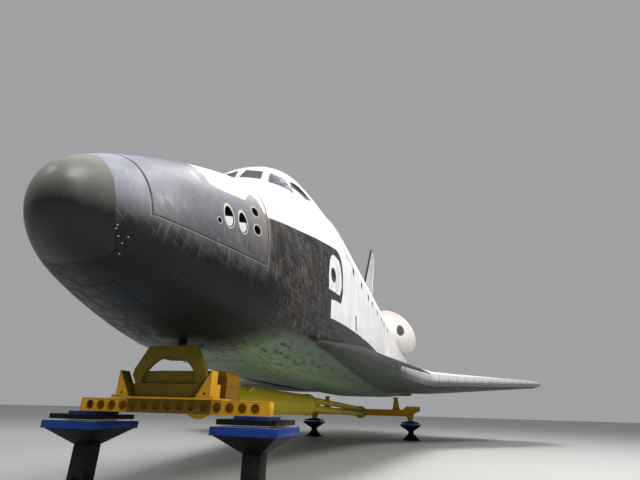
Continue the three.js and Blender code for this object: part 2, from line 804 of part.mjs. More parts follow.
function finRing(line, squeeze = 1) {
  const { lead, trail, hinge, half } = finRow(line);
  const outline = [
    // share of the chord ahead of the hinge (or behind it, over 1), share of the half thickness
    [0, 0],
    [0.015, 0.09],
    [0.05, 0.16],
    [1, 1],
    [1.25, 0.86],
    [2, 0.08],
  ];
  const place = ([share, wide], side) => {
    const station = share <= 1 ? lead + share * (hinge - lead) : hinge + (share - 1) * (trail - hinge);
    return at(station, side * wide * half * squeeze, line);
  };
  const port = outline.slice(1).map((p) => place(p, 1));
  const starboard = outline.slice(1).map((p) => place(p, -1));
  return [place(outline[0], 0), ...port, ...starboard.reverse()];
}

function finWhole() {
  return loft([
    finRing(FIN_ROOT.line - 10),
    finRing(FIN_TIP.line - 8),
    finRing(FIN_TIP.line - 3, 0.8),
    finRing(FIN_TIP.line, 0.35),
  ]);
}

// The hinge axis: a point on it at a waterline, and its direction
function rudderAxis(line) {
  return at(finRow(line).hinge, 0, line);
}

const RUDDER_WAY = new THREE.Vector3().subVectors(rudderAxis(800), rudderAxis(500)).normalize();

// A slab square to the hinge axis, behind the axis or round it
function rudderSlab(low, high, ahead, y0, y1) {
  const [foot, head] = [rudderAxis(low), rudderAxis(high)];
  const long = foot.distanceTo(head);
  const back = 3200;
  const geometry = new THREE.BoxGeometry(back + ahead, y1 - y0, long);
  const side = new THREE.Vector3(0, 1, 0);
  // Forward, square to the axis
  const across = new THREE.Vector3().crossVectors(side, RUDDER_WAY).normalize();
  const middle = foot
    .clone()
    .lerp(head, 0.5)
    .addScaledVector(across, (ahead - back) / 2)
    .addScaledVector(side, (y0 + y1) / 2);
  const frame = new THREE.Matrix4().makeBasis(across, side, RUDDER_WAY).setPosition(middle);
  return solid(geometry, frame);
}

function rudderCone(low, high, scale, grow, rolled = false) {
  return bar(
    rudderAxis(low),
    rudderAxis(high),
    finRow(low).half * INCH * scale + grow,
    finRow(high).half * INCH * scale + grow,
    HINGE_AROUND,
    rolled,
  );
}

// What stands over the upper engine keeps clear of its bell
function clearOfEngine(made) {
  return made.subtract(thrustCone(MAIN_ENGINES[0], 40, 170, 30, 62));
}

// The fin without its rudder, cut off at the bay and seated on the fuselage
function fin() {
  const [low, high] = [RUDDER_LOW - RUDDER_SEAM, RUDDER_HIGH + RUDDER_SEAM];
  const seated = clearOfEngine(finWhole())
    .subtract(aftFuselage(CURVED_TOUCH / INCH))
    .subtract(dragChute(CURVED_TOUCH / INCH))
    .subtract(block([1250, -40, 400], [BAY_END + 1, 40, 540]));
  return seated
    .subtract(rudderSlab(low, high, 30, -800, 800))
    .subtract(rudderCone(low, high, 1.27, 4));
}

// Housing of the drag parachute, over the foot of the fin
const CHUTE_FOOT = 502;
const CHUTE = [
  // station, half width, top
  [1478, 17, 522],
  [1500, 22, 545],
  [1545, 20, 549],
  [1556, 14, 540],
];

function dragChute(grow = 0) {
  const rings = CHUTE.map(([station, half, top], row) => {
    const ends = row === 0 ? -grow : grow * Math.sign(row - 2);
    return Array.from({ length: 14 }, (_, i) => {
      const turn = (Math.PI * i) / 13;
      const up = Math.sin(turn) * (top - CHUTE_FOOT + 2 * grow);
      return at(station + ends, Math.cos(turn) * (half + grow), CHUTE_FOOT - grow + up);
    });
  });
  return loft(rings);
}

// The rotary actuators between the two panels: a tapered drum, its collars and its end pins
function rudderDrum() {
  const fit = DRUM_SHARE / ROUND_FIT;
  const low = rudderAxis(RUDDER_LOW - RUDDER_SEAM).addScaledVector(RUDDER_WAY, TOUCH);
  const high = rudderAxis(RUDDER_HIGH + RUDDER_SEAM).addScaledVector(RUDDER_WAY, -TOUCH);
  const collars = [0.02, 0.98].map((share) => {
    const line = RUDDER_LOW + share * (RUDDER_HIGH - RUDDER_LOW);
    return rudderCone(line - 2, line + 2, fit, -CURVED_TOUCH);
  });
  return collars.reduce(
    (sum, collar) => sum.add(collar),
    rudderCone(RUDDER_LOW, RUDDER_HIGH, fit, -8, true).add(bar(low, high, 55)),
  );
}

function rudderPanel(side) {
  const half = side > 0 ? [4, 900] : [-900, -4];
  return finWhole()
    .intersect(rudderSlab(RUDDER_LOW, RUDDER_HIGH, 10, ...half))
    .subtract(rudderCone(RUDDER_LOW - 9, RUDDER_HIGH + 9, DRUM_SHARE, 0, true));
}

function podSkin(side) {
  const rings = POD.map(([station, centre, line, wide, high]) =>
    Array.from({ length: 24 }, (_, i) => {
      const turn = (2 * Math.PI * i) / 24;
      return at(station, side * (centre + Math.cos(turn) * wide), line + Math.sin(turn) * high);
    }),
  );
  const { from, to, inner, outer, low, high } = STINGER;
  const stinger = block([from, side * inner, low], [to, side * outer, high]);
  return loft(rings).add(stinger);
}

function pod(side) {
  const bell = podEngine(side);
  return podSkin(side)
    .subtract(aftFuselage(CURVED_TOUCH / INCH))
    .subtract(domes(CURVED_TOUCH / INCH))
    .subtract(block([1300, -130, 300], [BAY_END + 0.5, 130, 600]))
    .subtract(bar(bell.root, bell.end, 13 * INCH, 36 * INCH, BELL_AROUND));
}

// A bell as a lathe round its own axis, then laid along the engine's thrust line
function bell(profile, gimbal, up, outboard) {
  const wall = BELL_WALL;
  const outer = profile.map(([aft, radius]) => new THREE.Vector2(radius * INCH, aft * INCH));
  const inner = profile.map(([aft, radius]) => new THREE.Vector2((radius - wall) * INCH, aft * INCH));
  const throat = new THREE.Vector2(0, (profile[0][0] + 3) * INCH);
  const backOfThroat = new THREE.Vector2(0, profile[0][0] * INCH);
  inner[0].y += 3 * INCH;
  const points = [backOfThroat, ...outer, ...inner.reverse(), throat];
  const geometry = new THREE.LatheGeometry(points, BELL_AROUND);
  return solid(geometry, thrustFrame(gimbal, up, outboard));
}

function thrustFrame(gimbal, up, outboard) {
  const rise = THREE.MathUtils.degToRad(up);
  const swing = THREE.MathUtils.degToRad(outboard);
  const aft = -Math.cos(rise) * Math.cos(swing);
  const way = new THREE.Vector3(aft, Math.sin(swing), Math.sin(rise)).normalize();
  const turn = new THREE.Quaternion().setFromUnitVectors(new THREE.Vector3(0, 1, 0), way);
  return new THREE.Matrix4().compose(at(...gimbal), turn, new THREE.Vector3(1, 1, 1));
}

function podEngine(side) {
  const gimbal = [1498, side * 82, 486];
  const frame = thrustFrame(gimbal, 15.8, side * 6.5);
  const root = new THREE.Vector3(0, POD_BELL[0][0] * INCH - TOUCH, 0).applyMatrix4(frame);
  const end = new THREE.Vector3(0, 90 * INCH, 0).applyMatrix4(frame);
  return { gimbal, root, end, solid: bell(POD_BELL, gimbal, 15.8, side * 6.5) };
}

// A cone round an engine's thrust line, between two distances aft of its gimbal point
function thrustCone([, gimbal, up, outboard], from, to, startRadius, endRadius) {
  const frame = thrustFrame(gimbal, up, outboard);
  const start = new THREE.Vector3(0, from * INCH, 0).applyMatrix4(frame);
  const end = new THREE.Vector3(0, to * INCH, 0).applyMatrix4(frame);
  return bar(start, end, startRadius * INCH, endRadius * INCH, BELL_AROUND);
}

// Heat shields round the main engines, which stand proud of the base
function domes(grow = 0) {
  const cones = MAIN_ENGINES.map((engine) =>
    thrustCone(engine, 22 - grow, 68 + grow, 44 + grow, 29.5 + grow),
  );
  return cones.reduce((sum, cone) => sum.add(cone));
}

// The base: aft fuselage, its domes and the flap's shelf, opened round each engine
function aftBody() {
  const body = aftFuselage().add(aftShelf()).add(domes());
  const seat = MAIN_BELL[0][0] - TOUCH / INCH;
  return MAIN_ENGINES.reduce(
    (rest, engine) => rest.subtract(thrustCone(engine, seat, 120, 22, 46)),
    body,
  );
}

function bodyFlap() {
  const { hinge, line, chord, half, thick, tip } = BODY_FLAP;
  const front = bar(at(hinge, -half, line), at(hinge, half, line), thick * INCH, thick * INCH, HINGE_AROUND);
  const blade = [
    [hinge, line + thick],
    [hinge + chord, line + tip - 4],
    [hinge + chord, line - tip - 4],
    [hinge, line - thick],
  ];
  return acrossY(blade, half).add(front);
}

// Places of the transporter on the floor's frame
const CRADLE_X = at(CRADLE.station, 0, 0).x;
const REAR_X = at(REAR.station, 0, 0).x;
const BEAM_TOP = KEEL_HEIGHT - BEAM.top;
const BEAM_LOW = BEAM_TOP - BEAM.high;
const BOX_FRONT = CRADLE_X - CRADLE.deep / 2 - TOUCH;
const BOX_BACK = BOX_FRONT - BOX.long;
const REAR_LOW = KEEL_HEIGHT - REAR.bottom;
const LEG_LOW = REAR_LOW - LEG.high;

// Transverse beam with a row of lightening holes, a little off its middle
function frontBeam() {
  const { long, high, deep, holes, pitch, hole, shift } = BEAM;
  const outline = new THREE.Shape();
  outline.moveTo(-long / 2, BEAM_LOW);
  outline.lineTo(long / 2, BEAM_LOW);
  outline.lineTo(long / 2, BEAM_TOP);
  outline.lineTo(-long / 2, BEAM_TOP);
  outline.closePath();
  for (let i = 0; i < holes; i++) {
    const path = new THREE.Path();
    const y = pitch * (i - (holes - 1) / 2) + shift;
    path.absarc(y, BEAM_LOW + high / 2, hole, 0, 2 * Math.PI, true);
    outline.holes.push(path);
  }
  return acrossX(outline, CRADLE_X + deep / 2, deep, 5);
}

// The arched frame under the forward attachment, with its two gussets
function cradle() {
  const { topWidth, baseWidth, deep, hole } = CRADLE;
  const foot = BEAM_TOP + TOUCH;
  const top = KEEL_HEIGHT + CRADLE.top;
  const waist = KEEL_HEIGHT - CRADLE.waist;
  const arch = new THREE.Shape();
  arch.moveTo(-baseWidth / 2, foot);
  arch.lineTo(baseWidth / 2, foot);
  arch.lineTo(baseWidth / 2, waist);
  arch.lineTo(topWidth / 2, top);
  arch.lineTo(-topWidth / 2, top);
  arch.lineTo(-baseWidth / 2, waist);
  arch.closePath();
  const opening = new THREE.Path();
  opening.moveTo(hole.width / 2, waist + 8);
  opening.absellipse(0, waist + 8, hole.width / 2, hole.high, 0, Math.PI, false);
  opening.closePath();
  arch.holes.push(opening);
  const gusset = new THREE.Shape();
  gusset.moveTo(GUSSET.foot, foot);
  gusset.lineTo(GUSSET.outer, foot);
  gusset.lineTo(GUSSET.outer, waist - 10);
  gusset.lineTo(GUSSET.apex, waist - 10);
  gusset.closePath();
  const brace = acrossX(gusset, CRADLE_X + BEAM.deep / 2, BEAM.deep);
  const pad = bar(
    new THREE.Vector3(CRADLE_X, 0, top - 20),
    new THREE.Vector3(CRADLE_X, 0, top + 150),
    CRADLE.pad,
    CRADLE.pad,
    24,
  ).subtract(fuselage(CRADLE.station - 20, CRADLE.station + 20, TOUCH / INCH));
  return acrossX(arch, CRADLE_X + deep / 2, deep).add(brace).add(brace.mirror([0, 1, 0])).add(pad);
}

// The spine's cross box, rounded at its upper corners, and its thick tube
function spineFront() {
  const { half, corner } = BOX;
  const [low, high] = [KEEL_HEIGHT - BOX.bottom, KEEL_HEIGHT - BOX.top];
  const outline = new THREE.Shape();
  outline.moveTo(-half, low);
  outline.lineTo(half, low);
  outline.absarc(half - corner, high - corner, corner, 0, Math.PI / 2, false);
  outline.absarc(corner - half, high - corner, corner, Math.PI / 2, Math.PI, false);
  outline.closePath();
  const point = (x) => new THREE.Vector3(x, 0, KEEL_HEIGHT - TUBE.line);
  return acrossX(outline, BOX_FRONT, BOX.long)
    .add(bar(point(BOX_BACK + 100), point(TUBE.end), TUBE.radius, TUBE.radius, 32))
    .add(bar(point(TUBE.end + 90), point(TUBE.end), TUBE.flange, TUBE.flange, 32));
}

// Three slim tubes between flanges, from the thick tube back to the rear beam
function spineRear() {
  const front = new THREE.Vector3(TUBE.end - TOUCH, 0, KEEL_HEIGHT - TUBE.line);
  const back = new THREE.Vector3(REAR_X + REAR.deep / 2 + TOUCH, 0, KEEL_HEIGHT - TUBE.rearLine);
  const wide = TUBE.flange - 20;
  const flange = (end, long) => bar(end, end.clone().setX(end.x + long), wide, wide, 32);
  let body = flange(front, -80).add(flange(back, 80));
  for (const [y, z] of SLIM.places) {
    const start = new THREE.Vector3(front.x - 40, y, front.z + z);
    const end = new THREE.Vector3(back.x + 40, y, back.z + z);
    body = body.add(bar(start, end, SLIM.radius, SLIM.radius, 16));
  }
  return body;
}

// A frustum with level square ends
function frustum(x, y, low, lowWide, high, highWide) {
  const square = (z, wide) =>
    [
      [1, 1],
      [-1, 1],
      [-1, -1],
      [1, -1],
    ].map(([i, j]) => new THREE.Vector3(x + (i * wide) / 2, y + (j * wide) / 2, z));
  return solid(new ConvexGeometry([...square(low, lowWide), ...square(high, highWide)]));
}

// The rear beam, deeper towards its ends, with its hub and two tapered legs
function rearBeam() {
  const { half, deep } = REAR;
  const inner = KEEL_HEIGHT - REAR.top;
  const outer = KEEL_HEIGHT - REAR.tipTop;
  const port = [
    [half - 850, REAR_LOW],
    [half, REAR_LOW + 350],
    [half, outer],
    [half - 900, outer],
    [half - 1150, inner],
  ];
  const points = [...port, ...port.map(([y, z]) => [-y, z]).reverse()];
  const outline = new THREE.Shape(points.map(([y, z]) => new THREE.Vector2(y, z)));
  const hub = bar(
    new THREE.Vector3(REAR_X + deep / 2, 0, KEEL_HEIGHT - TUBE.rearLine),
    new THREE.Vector3(REAR_X - deep / 2, 0, KEEL_HEIGHT - TUBE.rearLine),
    REAR.hub,
    REAR.hub,
    32,
  );
  const legs = SIDES.map(([, side]) =>
    frustum(REAR_X, side * REAR_FEET, LEG_LOW, LEG.foot, REAR_LOW + LEG.into, LEG.head),
  );
  return legs.reduce((sum, leg) => sum.add(leg), acrossX(outline, REAR_X + deep / 2, deep).add(hub));
}

// Posts from the rear beam up to the two aft attachments
function rearPost(side) {
  const y = side * REAR.post * INCH;
  const low = KEEL_HEIGHT - REAR.top + TOUCH;
  const high = at(0, 0, sectionAt(REAR.station).bottom).z - TOUCH;
  const point = (z) => new THREE.Vector3(REAR_X, y, z);
  const foot = plate(REAR_X, y, low, POST.plate, POST.plateThick);
  const neck = high - POST.ballHigh - 25;
  const cone = bar(point(low + POST.plateThick - 10), point(neck), POST.low, POST.high, 20);
  return foot.add(cone).add(bar(point(neck - 1), point(high - 25), POST.ball, POST.ball, 20));
}

function plate(x, y, z, wide, thick) {
  const h = wide / 2;
  return blockBetween(new THREE.Vector3(x - h, y - h, z), new THREE.Vector3(x + h, y + h, z + thick));
}

const STACK = ISOLATOR.lowerThick + ISOLATOR.gap + ISOLATOR.upperThick + ISOLATOR.capThick;

// Sliding bearing, from the top down: cap, upper plate, slider, lower plate
function isolator(x, y, top) {
  const { lower, upper, lowerThick, upperThick, gap, slider, cap, capThick } = ISOLATOR;
  const z = top - STACK;
  return plate(x, y, z, lower, lowerThick)
    .add(plate(x, y, z + lowerThick - 1, slider, gap + 2))
    .add(plate(x, y, z + lowerThick + gap, upper, upperThick))
    .add(plate(x, y, z + lowerThick + gap + upperThick - 1, cap, capThick + 1));
}

function pedestal(x, y, isolatorTop) {
  const { column, head, headHigh, base, baseThick } = PEDESTAL;
  const top = isolatorTop - STACK - TOUCH;
  const neck = top - headHigh;
  return frustum(x, y, neck, column, top, head)
    .add(frustum(x, y, baseThick - 1, column, neck + 1, column))
    .add(plate(x, y, 0, base, baseThick));
}

// A mesh with its own material, from a finished solid
function part(name, made, colour, roughness = 0.6, metalness = 0) {
  const { numProp, vertProperties, triVerts } = made.getMesh();
  const count = vertProperties.length / numProp;
  const positions = new Float32Array(count * 3);
  for (let i = 0; i < count; i++)
    positions.set(vertProperties.subarray(i * numProp, i * numProp + 3), i * 3);
  const geometry = new THREE.BufferGeometry();
  geometry.setAttribute("position", new THREE.BufferAttribute(positions, 3));
  geometry.setIndex(new THREE.BufferAttribute(triVerts, 1));
  geometry.computeVertexNormals();
  const material = new THREE.MeshStandardMaterial({ color: colour, roughness, metalness });
  const mesh = new THREE.Mesh(geometry, material);
  mesh.name = name;
  return mesh;
}

const WHITE = 0xe8e6e2;
const TILE = 0x2c2d30;
const CARBON = 0x3b3d40;
const GLASS = 0x1a1e22;
const STEEL = 0x8d8a84;
const YELLOW = 0xc79a0c;
const BLUE = 0x0c3f86;
const BLACK = 0x141416;
const SILVER = 0xb9bcc0;
const CABIN = 0x8f9494;

const model = new THREE.Group();
model.add(part("nose_cap", noseCap(), CARBON, 0.45));
model.add(part("forward_fuselage", forwardFuselage(), WHITE, 0.7));
model.add(part("thruster_module", thrusterModule(), TILE, 0.6));
model.add(part("windshield", windshield(), GLASS, 0.05));
model.add(part("flight_deck", deckPlate(FLIGHT_DECK, CABIN_FRONT + 14, CABIN_BACK - 22), CABIN));
model.add(part("side_hatch", hatch(), WHITE, 0.7));
model.add(part("hatch_window", hatchWindow(), GLASS, 0.05));
model.add(part("mid_fuselage", midFuselage(), WHITE, 0.7));
model.add(part("aft_fuselage", aftBody(), WHITE, 0.7));
model.add(part("body_flap", bodyFlap(), TILE, 0.6));
model.add(part("fin", fin(), WHITE, 0.7));
model.add(part("drag_chute_housing", clearOfEngine(dragChute()), WHITE, 0.7));
model.add(part("rudder_drum", rudderDrum(), STEEL, 0.4, 0.6));
for (const [word, side] of SIDES) {
  model.add(part(`bay_door_${word}`, bayDoor(side), WHITE, 0.7));
  model.add(part(`radiator_${word}`, radiator(side), SILVER, 0.2, 0.8));
  model.add(part(`wing_${word}`, wing(side), WHITE, 0.7));
  model.add(part(`wing_edge_${word}`, wingEdge(side), CARBON, 0.45));
  model.add(part(`gear_door_${word}`, gearDoor(side), TILE, 0.6));
  model.add(part(`nose_gear_door_${word}`, noseDoor(side), TILE, 0.6));
  model.add(part(`elevon_inner_${word}`, elevon(side, ELEVON_ROOT, ELEVON_SPLIT), WHITE, 0.7));
  model.add(part(`elevon_outer_${word}`, elevon(side, ELEVON_SPLIT, WING_TIP + 2), WHITE, 0.7));
  model.add(part(`rudder_panel_${word}`, rudderPanel(side), WHITE, 0.7));
  model.add(part(`pod_${word}`, pod(side), WHITE, 0.7));
  model.add(part(`pod_nozzle_${word}`, podEngine(side).solid, STEEL, 0.4, 0.8));
}
for (const [name, gimbal, up, outboard] of MAIN_ENGINES)
  model.add(part(name, bell(MAIN_BELL, gimbal, up, outboard), STEEL, 0.4, 0.8));
model.add(part("transporter_front_beam", frontBeam(), YELLOW, 0.5));
model.add(part("transporter_cradle", cradle(), YELLOW, 0.5));
model.add(part("transporter_spine_front", spineFront(), YELLOW, 0.5));
model.add(part("transporter_spine_rear", spineRear(), YELLOW, 0.5));
model.add(part("transporter_rear_beam", rearBeam(), YELLOW, 0.5));
for (const [word, side] of SIDES) {
  model.add(part(`transporter_post_${word}`, rearPost(side), YELLOW, 0.5));
  for (const [end, x, y, top] of [
    ["front", CRADLE_X, FRONT_FEET, BEAM_LOW - TOUCH],
    ["rear", REAR_X, REAR_FEET, LEG_LOW - TOUCH],
  ]) {
    model.add(part(`isolator_${end}_${word}`, isolator(x, side * y, top), BLUE, 0.35, 0.2));
    model.add(part(`pedestal_${end}_${word}`, pedestal(x, side * y, top), BLACK, 0.5));
  }
}

export default model;
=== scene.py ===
"""Dresses a full-size shuttle orbiter and the steel transporter that it stands on.

The orbiter is laid out as its makers do it: stations run aft, buttlines run to port and
waterlines run up, all in inches. What is built here is in metres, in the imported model's frame,
with +X towards the nose, +Y to port and +Z up.
"""

import logging
import math
from collections.abc import Callable, Iterable, Sequence
from dataclasses import dataclass
from enum import Enum
from functools import cache, cached_property, reduce
from typing import NamedTuple

import bmesh
import bpy
from mathutils import Euler, Matrix, Vector


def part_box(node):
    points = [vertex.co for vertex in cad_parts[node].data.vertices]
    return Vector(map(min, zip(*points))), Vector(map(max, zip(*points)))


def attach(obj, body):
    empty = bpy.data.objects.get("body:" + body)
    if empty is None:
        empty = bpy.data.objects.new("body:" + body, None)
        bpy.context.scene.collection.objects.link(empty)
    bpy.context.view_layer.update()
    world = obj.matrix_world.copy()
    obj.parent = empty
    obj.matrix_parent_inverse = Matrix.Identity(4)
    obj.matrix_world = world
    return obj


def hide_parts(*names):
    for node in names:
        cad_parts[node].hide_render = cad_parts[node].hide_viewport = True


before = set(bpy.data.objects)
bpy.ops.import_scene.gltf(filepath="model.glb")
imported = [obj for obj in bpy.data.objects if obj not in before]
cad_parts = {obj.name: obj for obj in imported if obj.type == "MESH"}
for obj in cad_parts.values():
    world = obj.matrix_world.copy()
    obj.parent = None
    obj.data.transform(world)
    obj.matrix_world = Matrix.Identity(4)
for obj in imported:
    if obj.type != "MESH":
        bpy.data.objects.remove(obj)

log = logging.getLogger("orbiter")

INCH = 0.0254
MID_STATION = 971.0
KEEL_LINE = 267.0
KEEL_HEIGHT = 2.7
SIDES = (("port", 1), ("starboard", -1))
MOST_FINISHES = 4
SHARP_ANGLE = math.radians(32)
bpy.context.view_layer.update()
HULL_FRONT = 238.0
BAY_FRONT = 582.0
BAY_BACK = 1307.0
HULL_BACK = 1511.0

Shape = bmesh.types.BMesh
Piece = bpy.types.Object
Socket = bpy.types.NodeSocket
Material = bpy.types.Material
Point = Vector | tuple[float, float, float]
Outline = Sequence[tuple[float, float]]
Place = Callable[[float, float], Vector]
Table = tuple[tuple[float, ...], ...]


def at(station: float, buttline: float, line: float) -> Vector:
    """Gives the point in metres at a station, a buttline and a waterline, all in inches."""
    height = (line - KEEL_LINE) * INCH + KEEL_HEIGHT
    return Vector(((MID_STATION - station) * INCH, buttline * INCH, height))


def on_side(side: int, *points: Point) -> list[Vector]:
    """Gives points in metres on one side of the vehicle, each from inches aft, out and up."""
    return [at(station, side * out, line) for station, out, line in points]


def seat_radius(bar: float) -> float:
    """Gives the radius in metres of the seat that just clears a hinge bar, given in inches."""
    return bar * INCH * 1.003 + 0.0008


def smooth_table(rows: Sequence[Sequence[float]],
                 warp: Callable[[float], float] = float) -> Callable[[float], list[float]]:
    """Makes a smooth reading of a table that never overshoots its rows.

    Args:
        rows: Rows whose first number is the key, in rising order.
        warp: Spreads the keys, for a shape that is blunt at one end.

    Returns:
        A function from a key to the list of the row's other numbers.
    """
    keys = [warp(row[0]) for row in rows]
    steps = [b - a for a, b in zip(keys, keys[1:])]
    columns = list(zip(*rows))[1:]
    slopes = []
    for column in columns:
        rise = [(b - a) / step for a, b, step in zip(column, column[1:], steps)]
        inner = [2 * a * b / (a + b) if a * b > 0 else 0.0 for a, b in zip(rise, rise[1:])]
        slopes.append([rise[0], *inner, rise[-1]])

    def read(key: float) -> list[float]:
        """Reads every column of the table at one key."""
        place = min(max(warp(key), keys[0]), keys[-1])
        i = max(j for j in range(len(steps)) if keys[j] <= place)
        t = (place - keys[i]) / steps[i]
        found = []
        for column, slope in zip(columns, slopes):
            start = (1 + 2 * t) * (1 - t) ** 2 * column[i] + t * (1 - t) ** 2 * steps[i] * slope[i]
            end = t * t * (3 - 2 * t) * column[i + 1] + t * t * (t - 1) * steps[i] * slope[i + 1]
            found.append(start + end)
        return found

    return read


def spaced(start: float, end: float, gap: float, also: Sequence[float] = ()) -> list[float]:
    """Lists evenly spaced numbers, with some more that are kept exactly.

    Args:
        start: The first number.
        end: The last.
        gap: Roughly how far apart they are.
        also: The kept numbers, of which those between both ends are used.

    Returns:
        The numbers in rising order.
    """
    count = max(1, round((end - start) / gap))
    even = [start + (end - start) * i / count for i in range(count + 1)]
    kept = [key for key in also if start < key < end]
    return sorted(kept + [key for key in even if all(abs(key - k) > gap / 3 for k in kept)])


class Cut(Enum):
    """How one solid changes another."""

    AWAY = "DIFFERENCE"
    KEEP = "INTERSECT"
    JOIN = "UNION"


def loft(steps: Sequence[float], place: Place, around: int = 96) -> Shape:
    """Skins a row of rings and closes both ends.

    Its "skin" UV map runs in metres: first along the row, then round the ring from its foot.

    Args:
        steps: The key of each ring.
        place: Gives a ring's point from its key and a turn in radians.
        around: Points in a ring.

    Returns:
        A closed shape.
    """
    shape = bmesh.new()
    run = shape.verts.layers.float.new("run")
    girth = shape.verts.layers.float.new("girth")
    half_step = Matrix.Rotation(math.pi / around, 3, "Z")
    edges: list[bmesh.types.BMEdge] = []
    travelled = 0.0
    middle = None
    for step in steps:
        ring = bmesh.ops.create_circle(shape, segments=around, radius=1.0)["verts"]
        bmesh.ops.rotate(shape, verts=ring, matrix=half_step)
        turns = {vert: math.atan2(vert.co.y, vert.co.x) for vert in ring}
        order = sorted(ring, key=lambda vert: (turns[vert] + math.pi / 2) % math.tau)
        for vert in order:
            vert.co = place(step, turns[vert])
        centre = sum((vert.co for vert in order), Vector()) / around
        travelled += (centre - middle).length if middle else 0.0
        middle = centre
        walked = 0.0
        for before, vert in zip([order[0], *order], order):
            walked += (vert.co - before.co).length
            vert[girth] = walked
            vert[run] = travelled
        for vert in order:
            vert[girth] -= walked if vert[girth] > walked / 2 else 0.0
        own = list({edge for vert in ring for edge in vert.link_edges})
        if edges:
            bmesh.ops.bridge_loops(shape, edges=edges + own)
        edges = own
    bmesh.ops.holes_fill(shape, edges=[edge for edge in shape.edges if edge.is_boundary])
    bmesh.ops.recalc_face_normals(shape, faces=shape.faces)
    skin = shape.loops.layers.uv.new("skin")
    for face in shape.faces:
        widest = max(abs(loop.vert[girth]) for loop in face.loops)
        low = min(loop.vert[girth] for loop in face.loops)
        high = max(loop.vert[girth] for loop in face.loops)
        for loop in face.loops:
            lap = 2 * widest if high - low > widest and loop.vert[girth] < 0 else 0.0
            loop[skin].uv = (loop.vert[run], loop.vert[girth] + lap)
    return shape


def soften(shape: Shape, geom: Iterable, offset: float, segments: int = 2, affect: str = "EDGES") -> Shape:
    """Rounds edges or corners off.

    Args:
        shape: The shape to change.
        geom: Its edges or corners.
        offset: How far from each the rounding starts, in metres. None is made at 0.
        segments: Faces in each rounding.
        affect: Whether edges or vertices are rounded.

    Returns:
        The same shape.
    """
    if offset > 0:
        bmesh.ops.bevel(shape, geom=list(geom), offset=offset, segments=segments, profile=0.5,
                        affect=affect, material=-1)
    return shape


def thicken(shape: Shape, push: Vector) -> Shape:
    """Pushes flat faces into a solid.

    Args:
        shape: The shape to change.
        push: Way and length of the push, in metres.

    Returns:
        The same shape, closed.
    """
    grown = bmesh.ops.extrude_face_region(shape, geom=list(shape.faces))["geom"]
    moved = [item for item in grown if isinstance(item, bmesh.types.BMVert)]
    bmesh.ops.translate(shape, verts=moved, vec=push)
    bmesh.ops.recalc_face_normals(shape, faces=shape.faces)
    return shape


def prism(outline: Sequence[Point], push: Vector, corner: float = 0.0, segments: int = 5) -> Shape:
    """Pushes a flat outline into a solid, with its corners rounded on request.

    Args:
        outline: Corners in order.
        push: Way and length of the push, in metres.
        corner: How far from each corner the rounding starts.
        segments: Faces in each rounded corner.

    Returns:
        A closed shape.
    """
    shape = bmesh.new()
    shape.faces.new([shape.verts.new(point) for point in outline])
    return thicken(soften(shape, shape.verts, corner, segments, "VERTICES"), push)


def side_prism(outline: Outline, half: float) -> Shape:
    """Makes a solid from stations and waterlines that reaches half inches to each side."""
    points = [at(station, -half, line) for station, line in outline]
    return prism(points, Vector((0, 2 * half * INCH, 0)))


def block(start: Point, end: Point, bevel: float = 0.0, segments: int = 2) -> Shape:
    """Makes a box between two opposite corners, with softened edges on request.

    Args:
        start: One corner.
        end: The other.
        bevel: How far from each edge the softening starts.
        segments: Faces in each softened edge.

    Returns:
        A closed shape.
    """
    shape = bmesh.new()
    size = [abs(b - a) for a, b in zip(start, end)]
    middle = (Vector(start) + Vector(end)) / 2
    bmesh.ops.create_cube(shape, size=1.0, matrix=Matrix.Translation(middle) @ Matrix.Diagonal((*size, 1)))
    return soften(shape, shape.edges, bevel, segments)


def facing(start: Vector, way: Vector) -> Matrix:
    """Gives the frame at a point whose Z axis looks along a way."""
    return Matrix.Translation(start) @ way.to_track_quat("Z", "Y").to_matrix().to_4x4()


def rod(start: Point, end: Point, radius: float, far: float | None = None,
        around: int = 48, bevel: float = 0.0) -> Shape:
    """Makes a round bar between two points.

    Args:
        start: One end.
        end: The other.
        radius: Its radius.
        far: Its radius at the other end, when that differs.
        around: Faces round it.
        bevel: How far from its ends' rims they are softened.

    Returns:
        A closed shape.
    """
    shape = bmesh.new()
    start, end = Vector(start), Vector(end)
    bmesh.ops.create_cone(shape, cap_ends=True, segments=around, radius1=radius,
                          radius2=radius if far is None else far, depth=(end - start).length,
                          matrix=facing((start + end) / 2, end - start))
    rims = [edge for edge in shape.edges if any(len(face.verts) > 4 for face in edge.link_faces)]
    return soften(shape, rims, bevel)


def turned(profile: Outline, frame_to: Matrix, around: int = 64) -> Shape:
    """Spins a closed profile round a frame's Z axis.

    Args:
        profile: Pairs of a distance along the axis and a radius, in metres.
        frame_to: The frame.
        around: Faces round it.

    Returns:
        A closed shape.
    """
    shape = bmesh.new()
    verts = [shape.verts.new((radius, 0.0, along)) for along, radius in profile]
    edges = [shape.edges.new(pair) for pair in zip(verts, verts[1:] + verts[:1])]
    bmesh.ops.spin(shape, geom=verts + edges, cent=(0, 0, 0), axis=(0, 0, 1), dvec=(0, 0, 0),
                   angle=math.tau, steps=around, use_merge=True)
    bmesh.ops.remove_doubles(shape, verts=shape.verts, dist=1e-5)
    bmesh.ops.recalc_face_normals(shape, faces=shape.faces)
    bmesh.ops.transform(shape, matrix=frame_to, verts=shape.verts)
    return shape


def gather(shapes: Sequence[Shape]) -> Shape:
    """Puts several shapes into one without joining their surfaces.

    Args:
        shapes: The shapes, which are used up.

    Returns:
        One shape.
    """
    whole = bmesh.new()
    for shape in shapes:
        mesh = bpy.data.meshes.new("part")
        shape.to_mesh(mesh)
        shape.free()
        whole.from_mesh(mesh)
        bpy.data.meshes.remove(mesh)
    return whole


